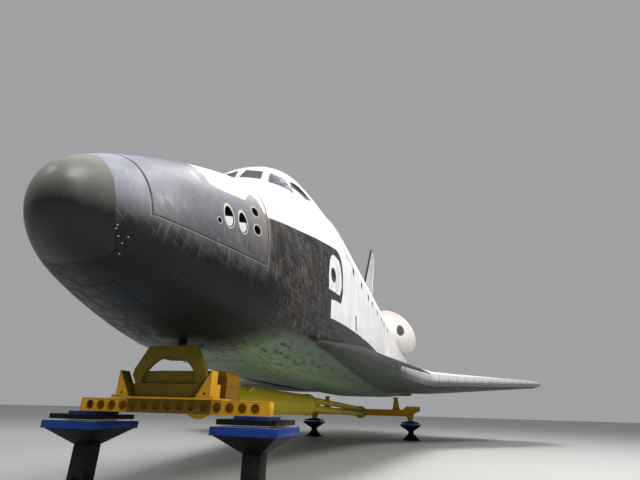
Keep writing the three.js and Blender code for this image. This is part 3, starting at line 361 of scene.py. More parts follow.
def piece(name: str, shape: Shape) -> Piece:
    """Turns a shape into an object at the origin.

    Args:
        name: The object's name.
        shape: The shape, which is used up.

    Returns:
        The object.
    """
    mesh = bpy.data.meshes.new(name)
    shape.to_mesh(mesh)
    shape.free()
    made = bpy.data.objects.new(name, mesh)
    bpy.context.scene.collection.objects.link(made)
    return made


def carve(base: Piece, shapes: Sequence[Shape], how: Cut, inner: int = 0) -> Piece:
    """Cuts or joins a piece with several solids.

    Args:
        base: The piece to change.
        shapes: The solids, which are used up.
        how: What each solid does to the piece.
        inner: Material slot that the new faces take.

    Returns:
        The same piece.
    """
    tools = []
    for shape in shapes:
        for face in shape.faces:
            face.material_index = inner
        tools.append(piece(base.name + "_tool", shape))
    for item in (base, *tools):
        while len(item.data.materials) <= MOST_FINISHES:
            item.data.materials.append(None)
    for tool in tools:
        change = base.modifiers.new("carve", "BOOLEAN")
        change.operation = how.value
        change.solver = "MANIFOLD"
        change.object = tool
    seen = base.evaluated_get(bpy.context.evaluated_depsgraph_get())
    made = bpy.data.meshes.new_from_object(seen)
    base.modifiers.clear()
    base.data = made
    for tool in tools:
        mesh = tool.data
        bpy.data.objects.remove(tool)
        bpy.data.meshes.remove(mesh)
    return base


def dress(made: Piece, finishes: Sequence["Paint"], slot: str, *stands_for: str,
          body: str = "airframe") -> Piece:
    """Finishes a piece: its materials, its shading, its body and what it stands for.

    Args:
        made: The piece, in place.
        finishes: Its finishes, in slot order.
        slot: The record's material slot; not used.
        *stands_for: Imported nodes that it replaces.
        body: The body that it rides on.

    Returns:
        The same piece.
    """
    mesh = made.data
    chosen = [face.material_index for face in mesh.polygons]
    mesh.materials.clear()
    for finish in finishes:
        mesh.materials.append(material(finish))
    mesh.polygons.foreach_set("material_index", chosen)
    mesh.polygons.foreach_set("use_smooth", [True] * len(mesh.polygons))
    mesh.set_sharp_from_angle(angle=SHARP_ANGLE)
    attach(made, body)
    if stands_for:
        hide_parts(*stands_for)
    log.info("%s: %d faces on %s", made.name, len(mesh.polygons), body)
    return made


def put(name: str, shapes: Shape | Sequence[Shape], finish: "Paint", slot: str, *stands_for: str,
        body: str = "airframe") -> Piece:
    """Makes a piece of one finish from its shape, or from several that are put together."""
    shape = shapes if isinstance(shapes, Shape) else gather(shapes)
    return dress(piece(name, shape), [finish], slot, *stands_for, body=body)


def tint(code: object) -> object:
    """Turns a colour code such as #c9970f into the colour that a shader reads.

    Args:
        code: The code. Anything else stays as it is.

    Returns:
        The colour.
    """
    if not isinstance(code, str):
        return code
    parts = [int(code[i:i + 2], 16) / 255 for i in (1, 3, 5)]
    linear = [c / 12.92 if c <= 0.04045 else ((c + 0.055) / 1.055) ** 2.4 for c in parts]
    return (*linear, 1.0)


class Graph:
    """A material's node tree, with short calls for what the finishes need."""

    def __init__(self, name: str) -> None:
        """Starts a material with a Principled shader and the object's own coordinates.

        Args:
            name: The material's name.
        """
        self.material = bpy.data.materials.new(name)
        self.material.use_nodes = True
        self.tree = self.material.node_tree
        self.shader = self.tree.nodes["Principled BSDF"]
        self.place = self.add("TexCoord", {}, "Object")
        self.x, self.y, self.z = self.axes(self.place)

    def feed(self, node: bpy.types.Node, key: int | str, value: object) -> None:
        """Links a socket to a node's input, or sets the input to a plain value.

        Args:
            node: The node.
            key: The input's index or name.
            value: The socket or the value.
        """
        if isinstance(value, Socket):
            self.tree.links.new(value, node.inputs[key])
        else:
            node.inputs[key].default_value = value

    def add(self, kind: str, inputs: dict[int | str, object], output: int | str = 0,
            **options: object) -> Socket:
        """Adds a node.

        Args:
            kind: The node's type, without its prefix.
            inputs: Sockets or plain values, by the input's index or name.
            output: The output that is wanted.
            **options: The node's settings.

        Returns:
            That output.
        """
        node = self.tree.nodes.new("ShaderNode" + kind)
        for key, value in options.items():
            setattr(node, key, value)
        for key, value in inputs.items():
            self.feed(node, key, value)
        return node.outputs[output]

    def axes(self, vector: Socket) -> list[Socket]:
        """Splits a vector into its three numbers."""
        return list(self.add("SeparateXYZ", {0: vector}).node.outputs)

    def facing_up(self) -> Socket:
        """Gives how far the surface faces up, from -1 to 1."""
        return self.axes(self.add("NewGeometry", {}, "Normal"))[2]

    def math(self, operation: str, a: object, b: object = 0.0, c: object = 0.0) -> Socket:
        """Works out one number from up to three."""
        return self.add("Math", {0: a, 1: b, 2: c}, operation=operation)

    def minus(self, a: object, b: object) -> Socket:
        """Takes one number from another."""
        return self.math("SUBTRACT", a, b)

    def vector(self, x: object = 0.0, y: object = 0.0, z: object = 0.0) -> Socket:
        """Joins three numbers."""
        return self.add("CombineXYZ", {0: x, 1: y, 2: z})

    def vectors(self, operation: str, a: Socket, b: object = (0, 0, 0), output: str = "Vector") -> Socket:
        """Works with two vectors."""
        return self.add("VectorMath", {0: a, 1: b}, output, operation=operation)

    def to_port(self) -> Socket:
        """Gives the place with the starboard side folded over to port."""
        return self.vector(self.x, self.math("ABSOLUTE", self.y), self.z)

    def noise(self, vector: Socket, scale: object, detail: float = 3.0, rough: float = 0.55) -> Socket:
        """Gives soft random variation round a half.

        Args:
            vector: Where it is read.
            scale: One scale, or one for each axis.
            detail: Finer layers.
            rough: How strong these are.

        Returns:
            The variation.
        """
        if isinstance(scale, tuple):
            vector, scale = self.vectors("MULTIPLY", vector, scale), 1.0
        return self.add("TexNoise", {"Vector": vector, "Scale": scale, "Detail": detail, "Roughness": rough})

    def ramp(self, value: Socket, low: float, high: float, start: float = 0.0, end: float = 1.0) -> Socket:
        """Maps a value between two limits to two others, and holds it beyond them."""
        return self.add("MapRange", {"Value": value, "From Min": low, "From Max": high,
                                     "To Min": start, "To Max": end})

    def lines(self, low: float, high: float, start: float = 0.0, end: float = 1.0) -> Socket:
        """Maps the waterline between two others to two numbers."""
        return self.ramp(self.z, at(0, 0, low).z, at(0, 0, high).z, start, end)

    def stations(self, low: float, high: float, start: float = 0.0, end: float = 1.0) -> Socket:
        """Maps the station between two others to two numbers."""
        return self.ramp(self.x, at(low, 0, 0).x, at(high, 0, 0).x, start, end)

    def over(self, value: object, limit: object, soft: float) -> Socket:
        """Gives 1 where a value is over a limit and 0 where it is under, softly."""
        return self.ramp(self.minus(value, limit), -soft, soft)

    def near(self, value: Socket, centre: object, reach: float, soft: float) -> Socket:
        """Gives 1 where a value is within reach of a centre, softly."""
        return self.ramp(self.math("ABSOLUTE", self.minus(value, centre)), reach + soft, reach)

    def both(self, *values: object) -> Socket:
        """Multiplies masks, so that all have to hold."""
        return reduce(lambda a, b: self.math("MULTIPLY", a, b), values)

    def either(self, *values: Socket) -> Socket:
        """Takes the strongest of several masks."""
        return reduce(lambda a, b: self.math("MAXIMUM", a, b), values)

    def blend(self, share: object, a: object, b: object, how: str = "MIX") -> Socket:
        """Mixes two colours."""
        return self.add("Mix", {0: share, 6: tint(a), 7: tint(b)}, 2, data_type="RGBA", blend_type=how)

    def layer(self, base: object, colour: object, mask: Socket, most: float) -> Socket:
        """Lays a colour over another one where a mask holds, up to a share."""
        return self.blend(self.both(mask, most), base, colour)

    def shade(self, colour: object, value: Socket, low: float, high: float) -> Socket:
        """Multiplies a colour by a number that runs from low to high."""
        amount = self.ramp(value, 0.0, 1.0, low, high)
        return self.blend(1.0, colour, self.vector(amount, amount, amount), "MULTIPLY")

    def line(self, points: Outline) -> Socket:
        """Reads the waterline of a boundary, in metres up, at each point's station.

        Args:
            points: Stations and waterlines in rising order of stations.

        Returns:
            The boundary's height.
        """
        places = [at(station, 0, line) for station, line in points]
        start, end = places[0].x, places[-1].x
        heights = [point.z for point in places]
        low, high = min(heights), max(heights)
        node = self.tree.nodes.new("ShaderNodeFloatCurve")
        curve = node.mapping.curves[0]
        shares = [((p.x - start) / (end - start), (p.z - low) / (high - low)) for p in places]
        curve.points[0].location = shares[0]
        curve.points[1].location = shares[-1]
        for share in shares[1:-1]:
            curve.points.new(*share)
        for point in curve.points:
            point.handle_type = "VECTOR"
        node.mapping.update()
        self.feed(node, "Value", self.ramp(self.x, start, end))
        return self.ramp(node.outputs[0], 0.0, 1.0, low, high)


class Look(NamedTuple):
    """What a covering looks like: base colour, roughness and what its relief follows."""

    colour: object
    rough: object
    relief: Socket | None = None

    def mixed(self, g: Graph, share: Socket, other: "Look") -> "Look":
        """Mixes in a share of another look."""
        rough, relief = (g.add("Mix", {0: share, 2: a, 3: b}) for a, b in zip(self[1:], other[1:]))
        return Look(g.blend(share, self.colour, other.colour), rough, relief)


class Finish:
    """A finish: its look, and how strongly the shader takes each part of it."""

    strength = 0.3
    depth = 0.004
    metal = 0.0
    coat = 0.0
    shine = 0.5

    def look(self, g: Graph) -> Look:
        """Works out the look in the material's graph."""
        raise NotImplementedError

    def make(self, name: str) -> Material:
        """Makes the material.

        Args:
            name: Its name.

        Returns:
            The material.
        """
        g = Graph(name)
        colour, rough, relief = self.look(g)
        settings = {
            "Base Color": colour, "Roughness": rough, "Metallic": self.metal, "Coat Weight": self.coat,
            "Coat Roughness": 0.12, "Specular IOR Level": self.shine,
        }
        if relief is not None:
            bump = {"Strength": self.strength, "Distance": self.depth, "Height": relief}
            settings["Normal"] = g.add("Bump", bump)
        for key, value in settings.items():
            g.feed(g.shader, key, value)
        return g.material


class Layout(Enum):
    """Which way a pattern of tiles lies on a piece."""

    GIRTH = "round the hull"
    PLAN = "seen from above"
    SIDE = "seen from the side"


@dataclass(frozen=True)
class Tiled(Finish):
    """A covering in a square pattern, with the size of its tiles and joints in metres."""

    layout: Layout
    size: float = 0.1524
    joint: float = 0.0035

    def across(self, g: Graph) -> tuple[Socket, Socket]:
        """Gives the pattern's two directions on a piece, in metres.

        Args:
            g: The material's graph.

        Returns:
            Both directions.
        """
        if self.layout is Layout.PLAN:
            return g.x, g.y
        if self.layout is Layout.SIDE:
            return g.x, g.z
        return g.x, g.axes(g.add("UVMap", {}, uv_map="skin"))[1]

    def cells(self, g: Graph, scale: float = 1.0) -> tuple[Socket, Socket, Socket]:
        """Lays the tiles out.

        Args:
            g: The material's graph.
            scale: Size of the tiles, as a share of the usual one.

        Returns:
            The joints' mask, a random number for each tile and the pattern's own vector.
        """
        u, v = self.across(g)
        size = self.size * scale
        edge = g.math("MINIMUM", g.math("PINGPONG", u, size / 2), g.math("PINGPONG", v, size / 2))
        joint = g.ramp(edge, self.joint * 1.6, self.joint * 0.6)
        flat = g.vector(u, v)
        cell = g.vectors("SNAP", flat, (size, size, size))
        return joint, g.add("TexWhiteNoise", {"Vector": cell}, noise_dimensions="3D"), flat


@dataclass(frozen=True)
class BlackTiles(Tiled):
    """Black glazed tiles with worn pale joints, streaks and chipped corners."""

    dark: str = "#242120"
    worn: str = "#8f877d"
    # Pale green of the painted bounce light on the belly.
    under: str = "#90b28c"
    strength = 0.35
    shine = 0.25

    def look(self, g: Graph) -> Look:
        """Works out the tiles' look, with a pale greenish painted bounce light on the belly."""
        joint, lot, flat = self.cells(g)
        patch = g.noise(g.place, 0.9, 4.0)
        streak = g.noise(flat, (22.0, 1.6, 1.0), 4.0, 0.7)
        dash = g.noise(g.place, (2.2, 9.0, 3.0), 5.0, 0.65)
        low = g.both(g.lines(292, 282), g.ramp(g.facing_up(), 0.1, -0.2))
        base = g.shade(g.shade(self.dark, lot, 0.72, 1.5), patch, 0.6, 1.45)
        rub = g.both(g.ramp(streak, 0.5, 0.72), g.ramp(low, 1.0, 0.0), g.ramp(lot, 0.15, 0.8))
        base = g.layer(base, self.worn, rub, 0.6)
        # Painted light: a pale green glow of light bounced up from the floor onto the belly, strongest near
        # the middle.
        wide = g.ramp(g.math("ABSOLUTE", g.y), 2.5, 1.1, 0.1, 1.0)
        base = g.layer(base, self.under, g.both(low, g.stations(385, 430, 0.15, 1.0), wide), 0.85)
        base = g.layer(base, "#111413", g.both(low, g.ramp(dash, 0.54, 0.62)), 0.8)
        base = g.layer(base, self.worn, g.both(joint, g.ramp(g.noise(flat, 2.1, 2.0), 0.42, 0.62)), 0.55)
        chips = g.add("TexVoronoi", {"Vector": flat, "Scale": 11.0})
        chip = g.both(g.ramp(chips, 0.13, 0.07), g.ramp(patch, 0.5, 0.62), g.ramp(low, 1.0, 0.2))
        base = g.layer(base, "#c9c4bd", chip, 0.8)
        rough = g.ramp(g.math("ADD", lot, patch), 0.3, 1.7, 0.32, 0.58)
        return Look(base, rough, g.minus(g.both(lot, 0.25), joint))


@dataclass(frozen=True)
class WhiteTiles(Tiled):
    """White tiles or stitched felt blankets with faint joints and rain streaks."""

    size: float = 0.61
    joint: float = 0.004
    white: str = "#e3e1e0"
    stain: str = "#aaa49d"
    strength = 0.25

    def look(self, g: Graph) -> Look:
        """Works out the white covering's look."""
        joint, lot, _ = self.cells(g)
        stitch, _, _ = self.cells(g, 0.125)
        fall = g.noise(g.place, (3.2, 3.2, 0.35), 4.0, 0.6)
        base = g.shade(self.white, lot, 0.93, 1.03)
        base = g.blend(g.ramp(fall, 0.52, 0.8, 0.0, 0.45), base, self.stain)
        base = g.layer(base, self.stain, joint, 0.4)
        relief = g.math("ADD", g.both(joint, -1.0), g.both(stitch, -0.25))
        return Look(base, g.ramp(fall, 0.3, 0.7, 0.62, 0.78), relief)


@dataclass(frozen=True)
class Opening:
    """A round opening of a thruster: where it is, its radius and how far its axis tilts down."""

    station: float
    line: float
    radius: float
    tilt: float

    def axis(self, side: int, skin: float) -> tuple[Vector, Vector]:
        """Gives the opening's middle on the skin and the way that it looks."""
        down = math.radians(self.tilt)
        return at(self.station, side * skin, self.line), Vector((0, side * math.cos(down), -math.sin(down)))


@dataclass(frozen=True)
class HullSkin(Finish):
    """The hull's covering: black tiles below and ahead, white above, with their measured edge.

    Each boundary is a list of (station, waterline) pairs in rising order of stations.
    """

    crown: Outline = (
        (312, 440), (316.5, 440), (317.5, 384), (319, 377.6), (326, 376.6), (348.4, 379.6), (353, 380.4),
        (358, 387), (363.3, 392), (368.8, 390), (373.9, 380), (380, 376.6), (402, 382), (434, 390),
        (464, 394), (512, 402), (540, 406.5), (546, 405), (554.2, 399.5), (560, 379), (561.5, 255),
    )
    undercut: Outline = (
        (505, 255), (513.2, 255), (514.4, 339), (530, 341.5), (552.2, 342.7), (560.4, 359), (561.5, 361),
    )
    glove: Outline = (
        (440, 300), (446, 316.5), (512.5, 318.7), (655.7, 326.2), (760, 330), (1307, 330), (1511, 322),
    )
    patch_top: Outline = (
        (505, 340), (506.8, 349), (507.2, 366.3), (511, 380), (515.2, 388.4), (521, 393), (528.8, 395.1),
        (545.6, 394), (550, 386), (553.1, 376.2), (554.6, 363), (556, 340),
    )
    patch_foot: Outline = ((505, 349), (546.1, 351.2), (554.3, 362.9), (556, 375))
    soft_edge: float = 0.006
    strength = 0.35
    shine = 0.25

    def black_share(self, g: Graph) -> Socket:
        """Gives the mask of the black tiles.

        Args:
            g: The material's graph.

        Returns:
            The mask.
        """
        soft = self.soft_edge
        below = g.minus(1.0, g.over(g.z, g.line(self.crown), soft))
        black = g.both(below, g.over(g.z, g.line(self.undercut), soft))
        black = g.either(black, g.minus(1.0, g.over(g.z, g.line(self.glove), soft)))
        inside = g.both(
            g.near(g.x, at(531, 0, 0).x, 24.5 * INCH, 0.004),
            g.over(g.line(self.patch_top), g.z, soft),
            g.over(g.z, g.line(self.patch_foot), soft),
            g.over(g.y, 0.0, 0.01),
        )
        return g.both(black, g.minus(1.0, inside))

    def rims(self, g: Graph) -> Socket:
        """Gives the mask of the pale rings round the thrusters' openings.

        Args:
            g: The material's graph.

        Returns:
            The mask.
        """
        rings = []
        for opening, skin in zip(THRUSTERS, THRUSTER_SKINS):
            middle, way = opening.axis(1, skin)
            from_middle = g.vectors("SUBTRACT", g.to_port(), tuple(middle))
            cross = g.vectors("CROSS_PRODUCT", from_middle, tuple(way))
            inner, outer = ((opening.radius * 1.14 + more) * INCH for more in (0.05, 0.3))
            rings.append(g.ramp(g.vectors("LENGTH", cross, output="Value"), outer, inner))
        return g.either(*rings)

    def seams(self, g: Graph, shift: float, reach: float) -> Socket:
        """Gives the mask of the lines round the thrusters' module.

        Args:
            g: The material's graph.
            shift: How far outside the module's edge the line lies, in metres.
            reach: Half its width, in metres.

        Returns:
            The mask.
        """
        floor, rear, front = at(0, 0, 333.5).z, at(378, 0, 0).x, at(275.7, 0, 0).x
        lean = g.minus(g.x, g.both(g.minus(g.z, floor), 0.2043))
        above = g.over(g.z, floor - 0.03 - shift, 0.01)
        between = g.both(g.over(g.x, rear, 0.02), g.over(front, lean, 0.02))
        return g.either(
            g.both(g.near(g.x, rear - shift, reach, 0.008), above),
            g.both(g.near(lean, front + shift, reach, 0.008), above),
            g.both(g.near(g.z, floor - shift, reach, 0.008), between),
        )

    def look(self, g: Graph) -> Look:
        """Works out the hull's look, with painted light and shade: a pale sheen rising up round the module,
        a highlight on top of the neck, shade on the lower front and blue-black shade at the chin.
        """
        black = BlackTiles(Layout.GIRTH).look(g)
        lot = g.noise(g.place, 1.7, 5.0, 0.6)
        brown = g.both(g.stations(352, 372), g.lines(338, 366))
        # Painted light: a pale grey sheen over the black tiles ahead of station 382 that grows with height,
        # brownish near the module's back.
        painted_sheen = g.both(g.over(g.x, at(382, 0, 0).x, 0.05), g.lines(320, 378, 0.0, 1.15))
        # Painted highlight: a pale patch on the top of the neck behind the cap.
        neck = g.both(g.stations(300, 268), g.lines(326, 356))
        # Painted shade: the lower front is darkened to near black.
        front = g.both(g.lines(330, 318), g.stations(430, 390))
        # Painted shade: a blue-black shade under the chin.
        chin = g.both(g.lines(302, 292), g.stations(350, 290))
        painted_sheen_colour = g.layer(g.shade("#8a8892", lot, 0.66, 1.25), g.shade("#a3948b", lot, 0.7, 1.2), brown, 0.75)
        base = g.layer(black.colour, painted_sheen_colour, painted_sheen, 0.72)
        base = g.layer(base, g.shade("#b4b5c2", lot, 0.4, 1.5), neck, 0.7)
        base = g.layer(base, g.shade("#0a0a0d", lot, 0.6, 1.5), front, 0.88)
        base = g.layer(base, g.shade("#19232b", lot, 0.3, 1.7), chin, 0.9)
        white = WhiteTiles(Layout.GIRTH).look(g)
        look = white.mixed(g, self.black_share(g), black._replace(colour=base))
        colour = g.blend(self.rims(g), look.colour, "#cbc4ba")
        colour = g.layer(colour, "#b0a79f", self.seams(g, 0.026, 0.01), 0.28)
        return look._replace(colour=g.layer(colour, "#3b332f", self.seams(g, 0.0, 0.014), 0.9))


@dataclass(frozen=True)
class WingSkin(Finish):
    """A wing's covering: black tiles below and round the glove, felt above."""

    shine = 0.25

    def look(self, g: Graph) -> Look:
        """Works out the wing's look."""
        black = BlackTiles(Layout.PLAN, dark="#151413", worn="#55524e").look(g)
        white = WhiteTiles(Layout.PLAN, white="#cdcbcb").look(g)
        share = g.over(g.stations(1150, 1000, 0.35, 1.1), g.facing_up(), 0.02)
        return white.mixed(g, share, black)


@dataclass(frozen=True)
class PodSkin(Finish):
    """A pod's cream felt with pinkish grey painted shade over its top and front, and the dark round patch on
    its front.
    """

    patch: Point = (1333, 117.3, 451.5)
    reach: float = 0.4
    strength = 0.25

    def look(self, g: Graph) -> Look:
        """Works out the pod's look."""
        felt = WhiteTiles(Layout.SIDE, 0.31, white="#efe8e0", stain="#c9baab").look(g)
        # Painted shade: a pinkish grey layer darkens the top and front of the pod.
        base = g.layer(felt.colour, "#ab9c97", g.both(g.lines(452, 500), g.stations(1420, 1350)), 0.8)
        gap = g.vectors("DISTANCE", g.to_port(), tuple(at(*self.patch)), "Value")
        spot = g.ramp(gap, self.reach + 0.03, self.reach - 0.03)
        return felt._replace(colour=g.blend(spot, base, "#4f4645"))


@dataclass(frozen=True)
class FinSkin(Finish):
    """The fin's covering: felt behind a band of black tiles along its leading edge."""

    band: float = 20.0
    slope: float = 1.0006
    shine = 0.25

    def look(self, g: Graph) -> Look:
        """Works out the fin's look."""
        root = at(1274.8, 0, 498)
        behind = g.minus(g.minus(root.x, g.x), g.both(g.minus(g.z, root.z), self.slope))
        share = g.over(self.band * INCH, behind, 0.01)
        white = WhiteTiles(Layout.SIDE, white="#c9c7c4").look(g)
        return white.mixed(g, share, BlackTiles(Layout.SIDE).look(g))


@dataclass(frozen=True)
class Carbon(Finish):
    """Coated carbon of the nose cap and the leading edges, satin and finely mottled."""

    # The cap's near-black navy is painted shade and a painted dark reflection on its lower half.
    colour: str = "#0c0d11"
    # Pale colour of up-facing faces: part dust, part painted light where the top is lit.
    dust: str = "#a6a59c"
    panel: float = 0.0
    strength = 0.2
    shine = 0.4

    def look(self, g: Graph) -> Look:
        """Works out the carbon's look: a pale layer on up-facing faces that is part dust and part painted
        light on the top, joints between its panels, and painted shade low on the edges' front.
        """
        cloud = g.noise(g.place, 3.0, 6.0, 0.6)
        grain = g.noise(g.place, 160.0, 2.0)
        up = g.facing_up()
        # Part dust, part painted light: up-facing faces turn pale, so the top reads lit and the underside
        # dark.
        dust_and_top_light = g.ramp(g.math("ADD", up, g.both(cloud, 0.25)), -0.2, 1.0)
        base = g.blend(dust_and_top_light, g.shade(self.colour, cloud, 0.78, 1.2), self.dust)
        base = g.shade(base, grain, 0.9, 1.1)
        relief = g.both(grain, 0.4)
        if self.panel:
            joint = g.ramp(g.math("PINGPONG", g.y, self.panel / 2), 0.012, 0.006)
            base = g.layer(base, "#1c1c1e", joint, 0.8)
            # Painted shade: down-facing faces of the leading edge darken towards its front.
            base = g.blend(g.both(g.stations(930, 800), g.ramp(up, 0.75, 0.1)), base, "#2b2a29")
            relief = g.minus(relief, joint)
        return Look(base, g.ramp(cloud, 0.3, 0.7, 0.3, 0.44), relief)


@dataclass(frozen=True)
class Paintwork(Finish):
    """Painted steel with dust, runs of dirt and rubbed places."""

    colour: str
    dirt: str
    wear: float
    grime: float
    rough: float = 0.42
    strength = 0.08
    depth = 0.002
    shine = 0.08

    def look(self, g: Graph) -> Look:
        """Works out the paint's look."""
        broad = g.noise(g.place, 1.4, 5.0, 0.6)
        runs = g.noise(g.place, (9.0, 9.0, 0.8), 4.0, 0.65)
        fine = g.noise(g.place, 70.0, 3.0)
        rub = g.add("NewGeometry", {}, "Pointiness")
        base = g.shade(self.colour, broad, 0.86, 1.12)
        base = g.blend(g.ramp(runs, 0.5, 0.75, 0.0, self.grime), base, self.dirt)
        base = g.layer(base, "#8f8a80", g.both(g.ramp(rub, 0.52, 0.56), g.ramp(fine, 0.45, 0.6)), self.wear)
        rough = g.ramp(g.math("ADD", broad, fine), 0.7, 1.3, self.rough - 0.07, self.rough + 0.1)
        return Look(base, rough, fine)


@dataclass(frozen=True)
class Metal(Finish):
    """Bare metal with brushed relief."""

    colour: str
    rough: float = 0.32
    strength: float = 0.15
    depth = 0.003
    metal = 0.9

    def look(self, g: Graph) -> Look:
        """Works out the metal's look."""
        cloud = g.noise(g.place, 2.5, 5.0)
        brushed = g.noise(g.place, (3.0, 60.0, 60.0), 3.0)
        base = g.shade(g.shade(self.colour, cloud, 0.7, 1.2), brushed, 0.85, 1.1)
        return Look(base, g.ramp(cloud, 0.3, 0.7, self.rough - 0.06, self.rough + 0.14), brushed)


@dataclass(frozen=True)
class Plain(Finish):
    """A quiet matt or glossy covering with a little variation and grain."""

    colour: str
    rough: float = 0.6
    grain: float = 60.0
    strength = 0.12
    depth = 0.002

    def look(self, g: Graph) -> Look:
        """Works out the covering's look."""
        broad = g.noise(g.place, 2.0, 4.0)
        fine = g.noise(g.place, self.grain, 3.0)
        base = g.shade(g.shade(self.colour, broad, 0.85, 1.12), fine, 0.92, 1.06)
        return Look(base, g.ramp(broad, 0.3, 0.7, self.rough - 0.06, self.rough + 0.06), fine)


@dataclass(frozen=True)
class Glass(Finish):
    """Dark coated window glass with faint smears."""

    colour: str = "#5c5c64"
    coat = 0.2
    shine = 0.3

    def look(self, g: Graph) -> Look:
        """Works out the glass's look."""
        smear = g.noise(g.place, (1.5, 4.0, 4.0), 4.0)
        return Look(g.shade(self.colour, smear, 0.75, 1.25), g.ramp(smear, 0.35, 0.7, 0.04, 0.14))


@dataclass(frozen=True)
class Ground(Finish):
    """The studio's pale floor."""

    colour: str = "#b4b4b1"

    def look(self, g: Graph) -> Look:
        """Works out the floor's look."""
        return Look(g.shade(self.colour, g.noise(g.place, 3.0, 4.0), 0.97, 1.02), 0.6)


class Paint(Enum):
    """Every finish that the pieces share: its material's name and what it is made of."""

    HULL = ("hull_skin", HullSkin())
    WING = ("wing_skin", WingSkin())
    TILES = ("black_tiles", BlackTiles(Layout.PLAN))
    CAP = ("nose_carbon", Carbon())
    EDGE = ("edge_carbon", Carbon("#77747b", "#a5a1a4", 0.49))
    FELT = ("white_felt", WhiteTiles(Layout.SIDE))
    DOOR = ("door_felt", WhiteTiles(Layout.GIRTH))
    POD = ("pod_felt", PodSkin())
    FIN = ("fin_skin", FinSkin())
    RADIATOR = ("radiator_silver", Metal("#c4c7ca", 0.24, 0.02))
    LINER = ("bay_liner", Plain("#a9aaa6", 0.6, 25.0))
    CABIN = ("cabin_grey", Plain("#8f9494", 0.6))
    SEAT = ("seat_cloth", Plain("#3c4048", 0.8, 120.0))
    GLASS = ("window_glass", Glass())
    RUBBER = ("window_seal", Plain("#17181a", 0.55, 90.0))
    PALE = ("pale_rim", Plain("#c9c4ba", 0.55))
    COVER = ("nozzle_cover", Plain("#d4d6d2", 0.5))
    # Near-black on faces inside holes and recesses and on the bells' throats: painted shade.
    DARK = ("painted_hollow_shade", Plain("#08090b", 0.8))
    BELL = ("bell_steel", Metal("#8d8a84", 0.34))
    DOME = ("engine_blanket", Plain("#b8b2a6", 0.75, 30.0))
    YELLOW = ("yellow_paint", Paintwork("#dca000", "#8a6604", 0.25, 0.3))
    # Darker olive copy of the yellow paint: painted shade on the arch and its panels, the beam's doubler and
    # rims, and the gussets' sloping flanges.
    SHADED_YELLOW = ("shaded_yellow_paint", Paintwork("#6b5a00", "#3c3200", 0.2, 0.35))
    # Darker orange-yellow of the cross box: partly its own tone, partly painted shade under the belly.
    BOX = ("box_tone_and_painted_shade", Paintwork("#8a6000", "#4a3402", 0.15, 0.35))
    TUBE_YELLOW = ("tube_yellow", Paintwork("#c8b000", "#6a5a06", 0.2, 0.3, 0.38))
    BLUE = ("blue_paint", Paintwork("#06307c", "#06142c", 0.1, 0.4, 0.3))
    NAVY = ("navy_paint", Paintwork("#030508", "#020305", 0.05, 0.3, 0.34))
    BRIGHT = ("slide_plate", Metal("#c9ccd0", 0.2))
    BLACK = ("black_paint", Paintwork("#060607", "#0c0c0d", 0.1, 0.4, 0.45))
    BOLT = ("bolt_steel", Metal("#7d7a72", 0.4))


@cache
def material(finish: Paint) -> Material:
    """Gives a finish's material, which is made when it is first needed."""
    name, made = finish.value
    return made.make(name)


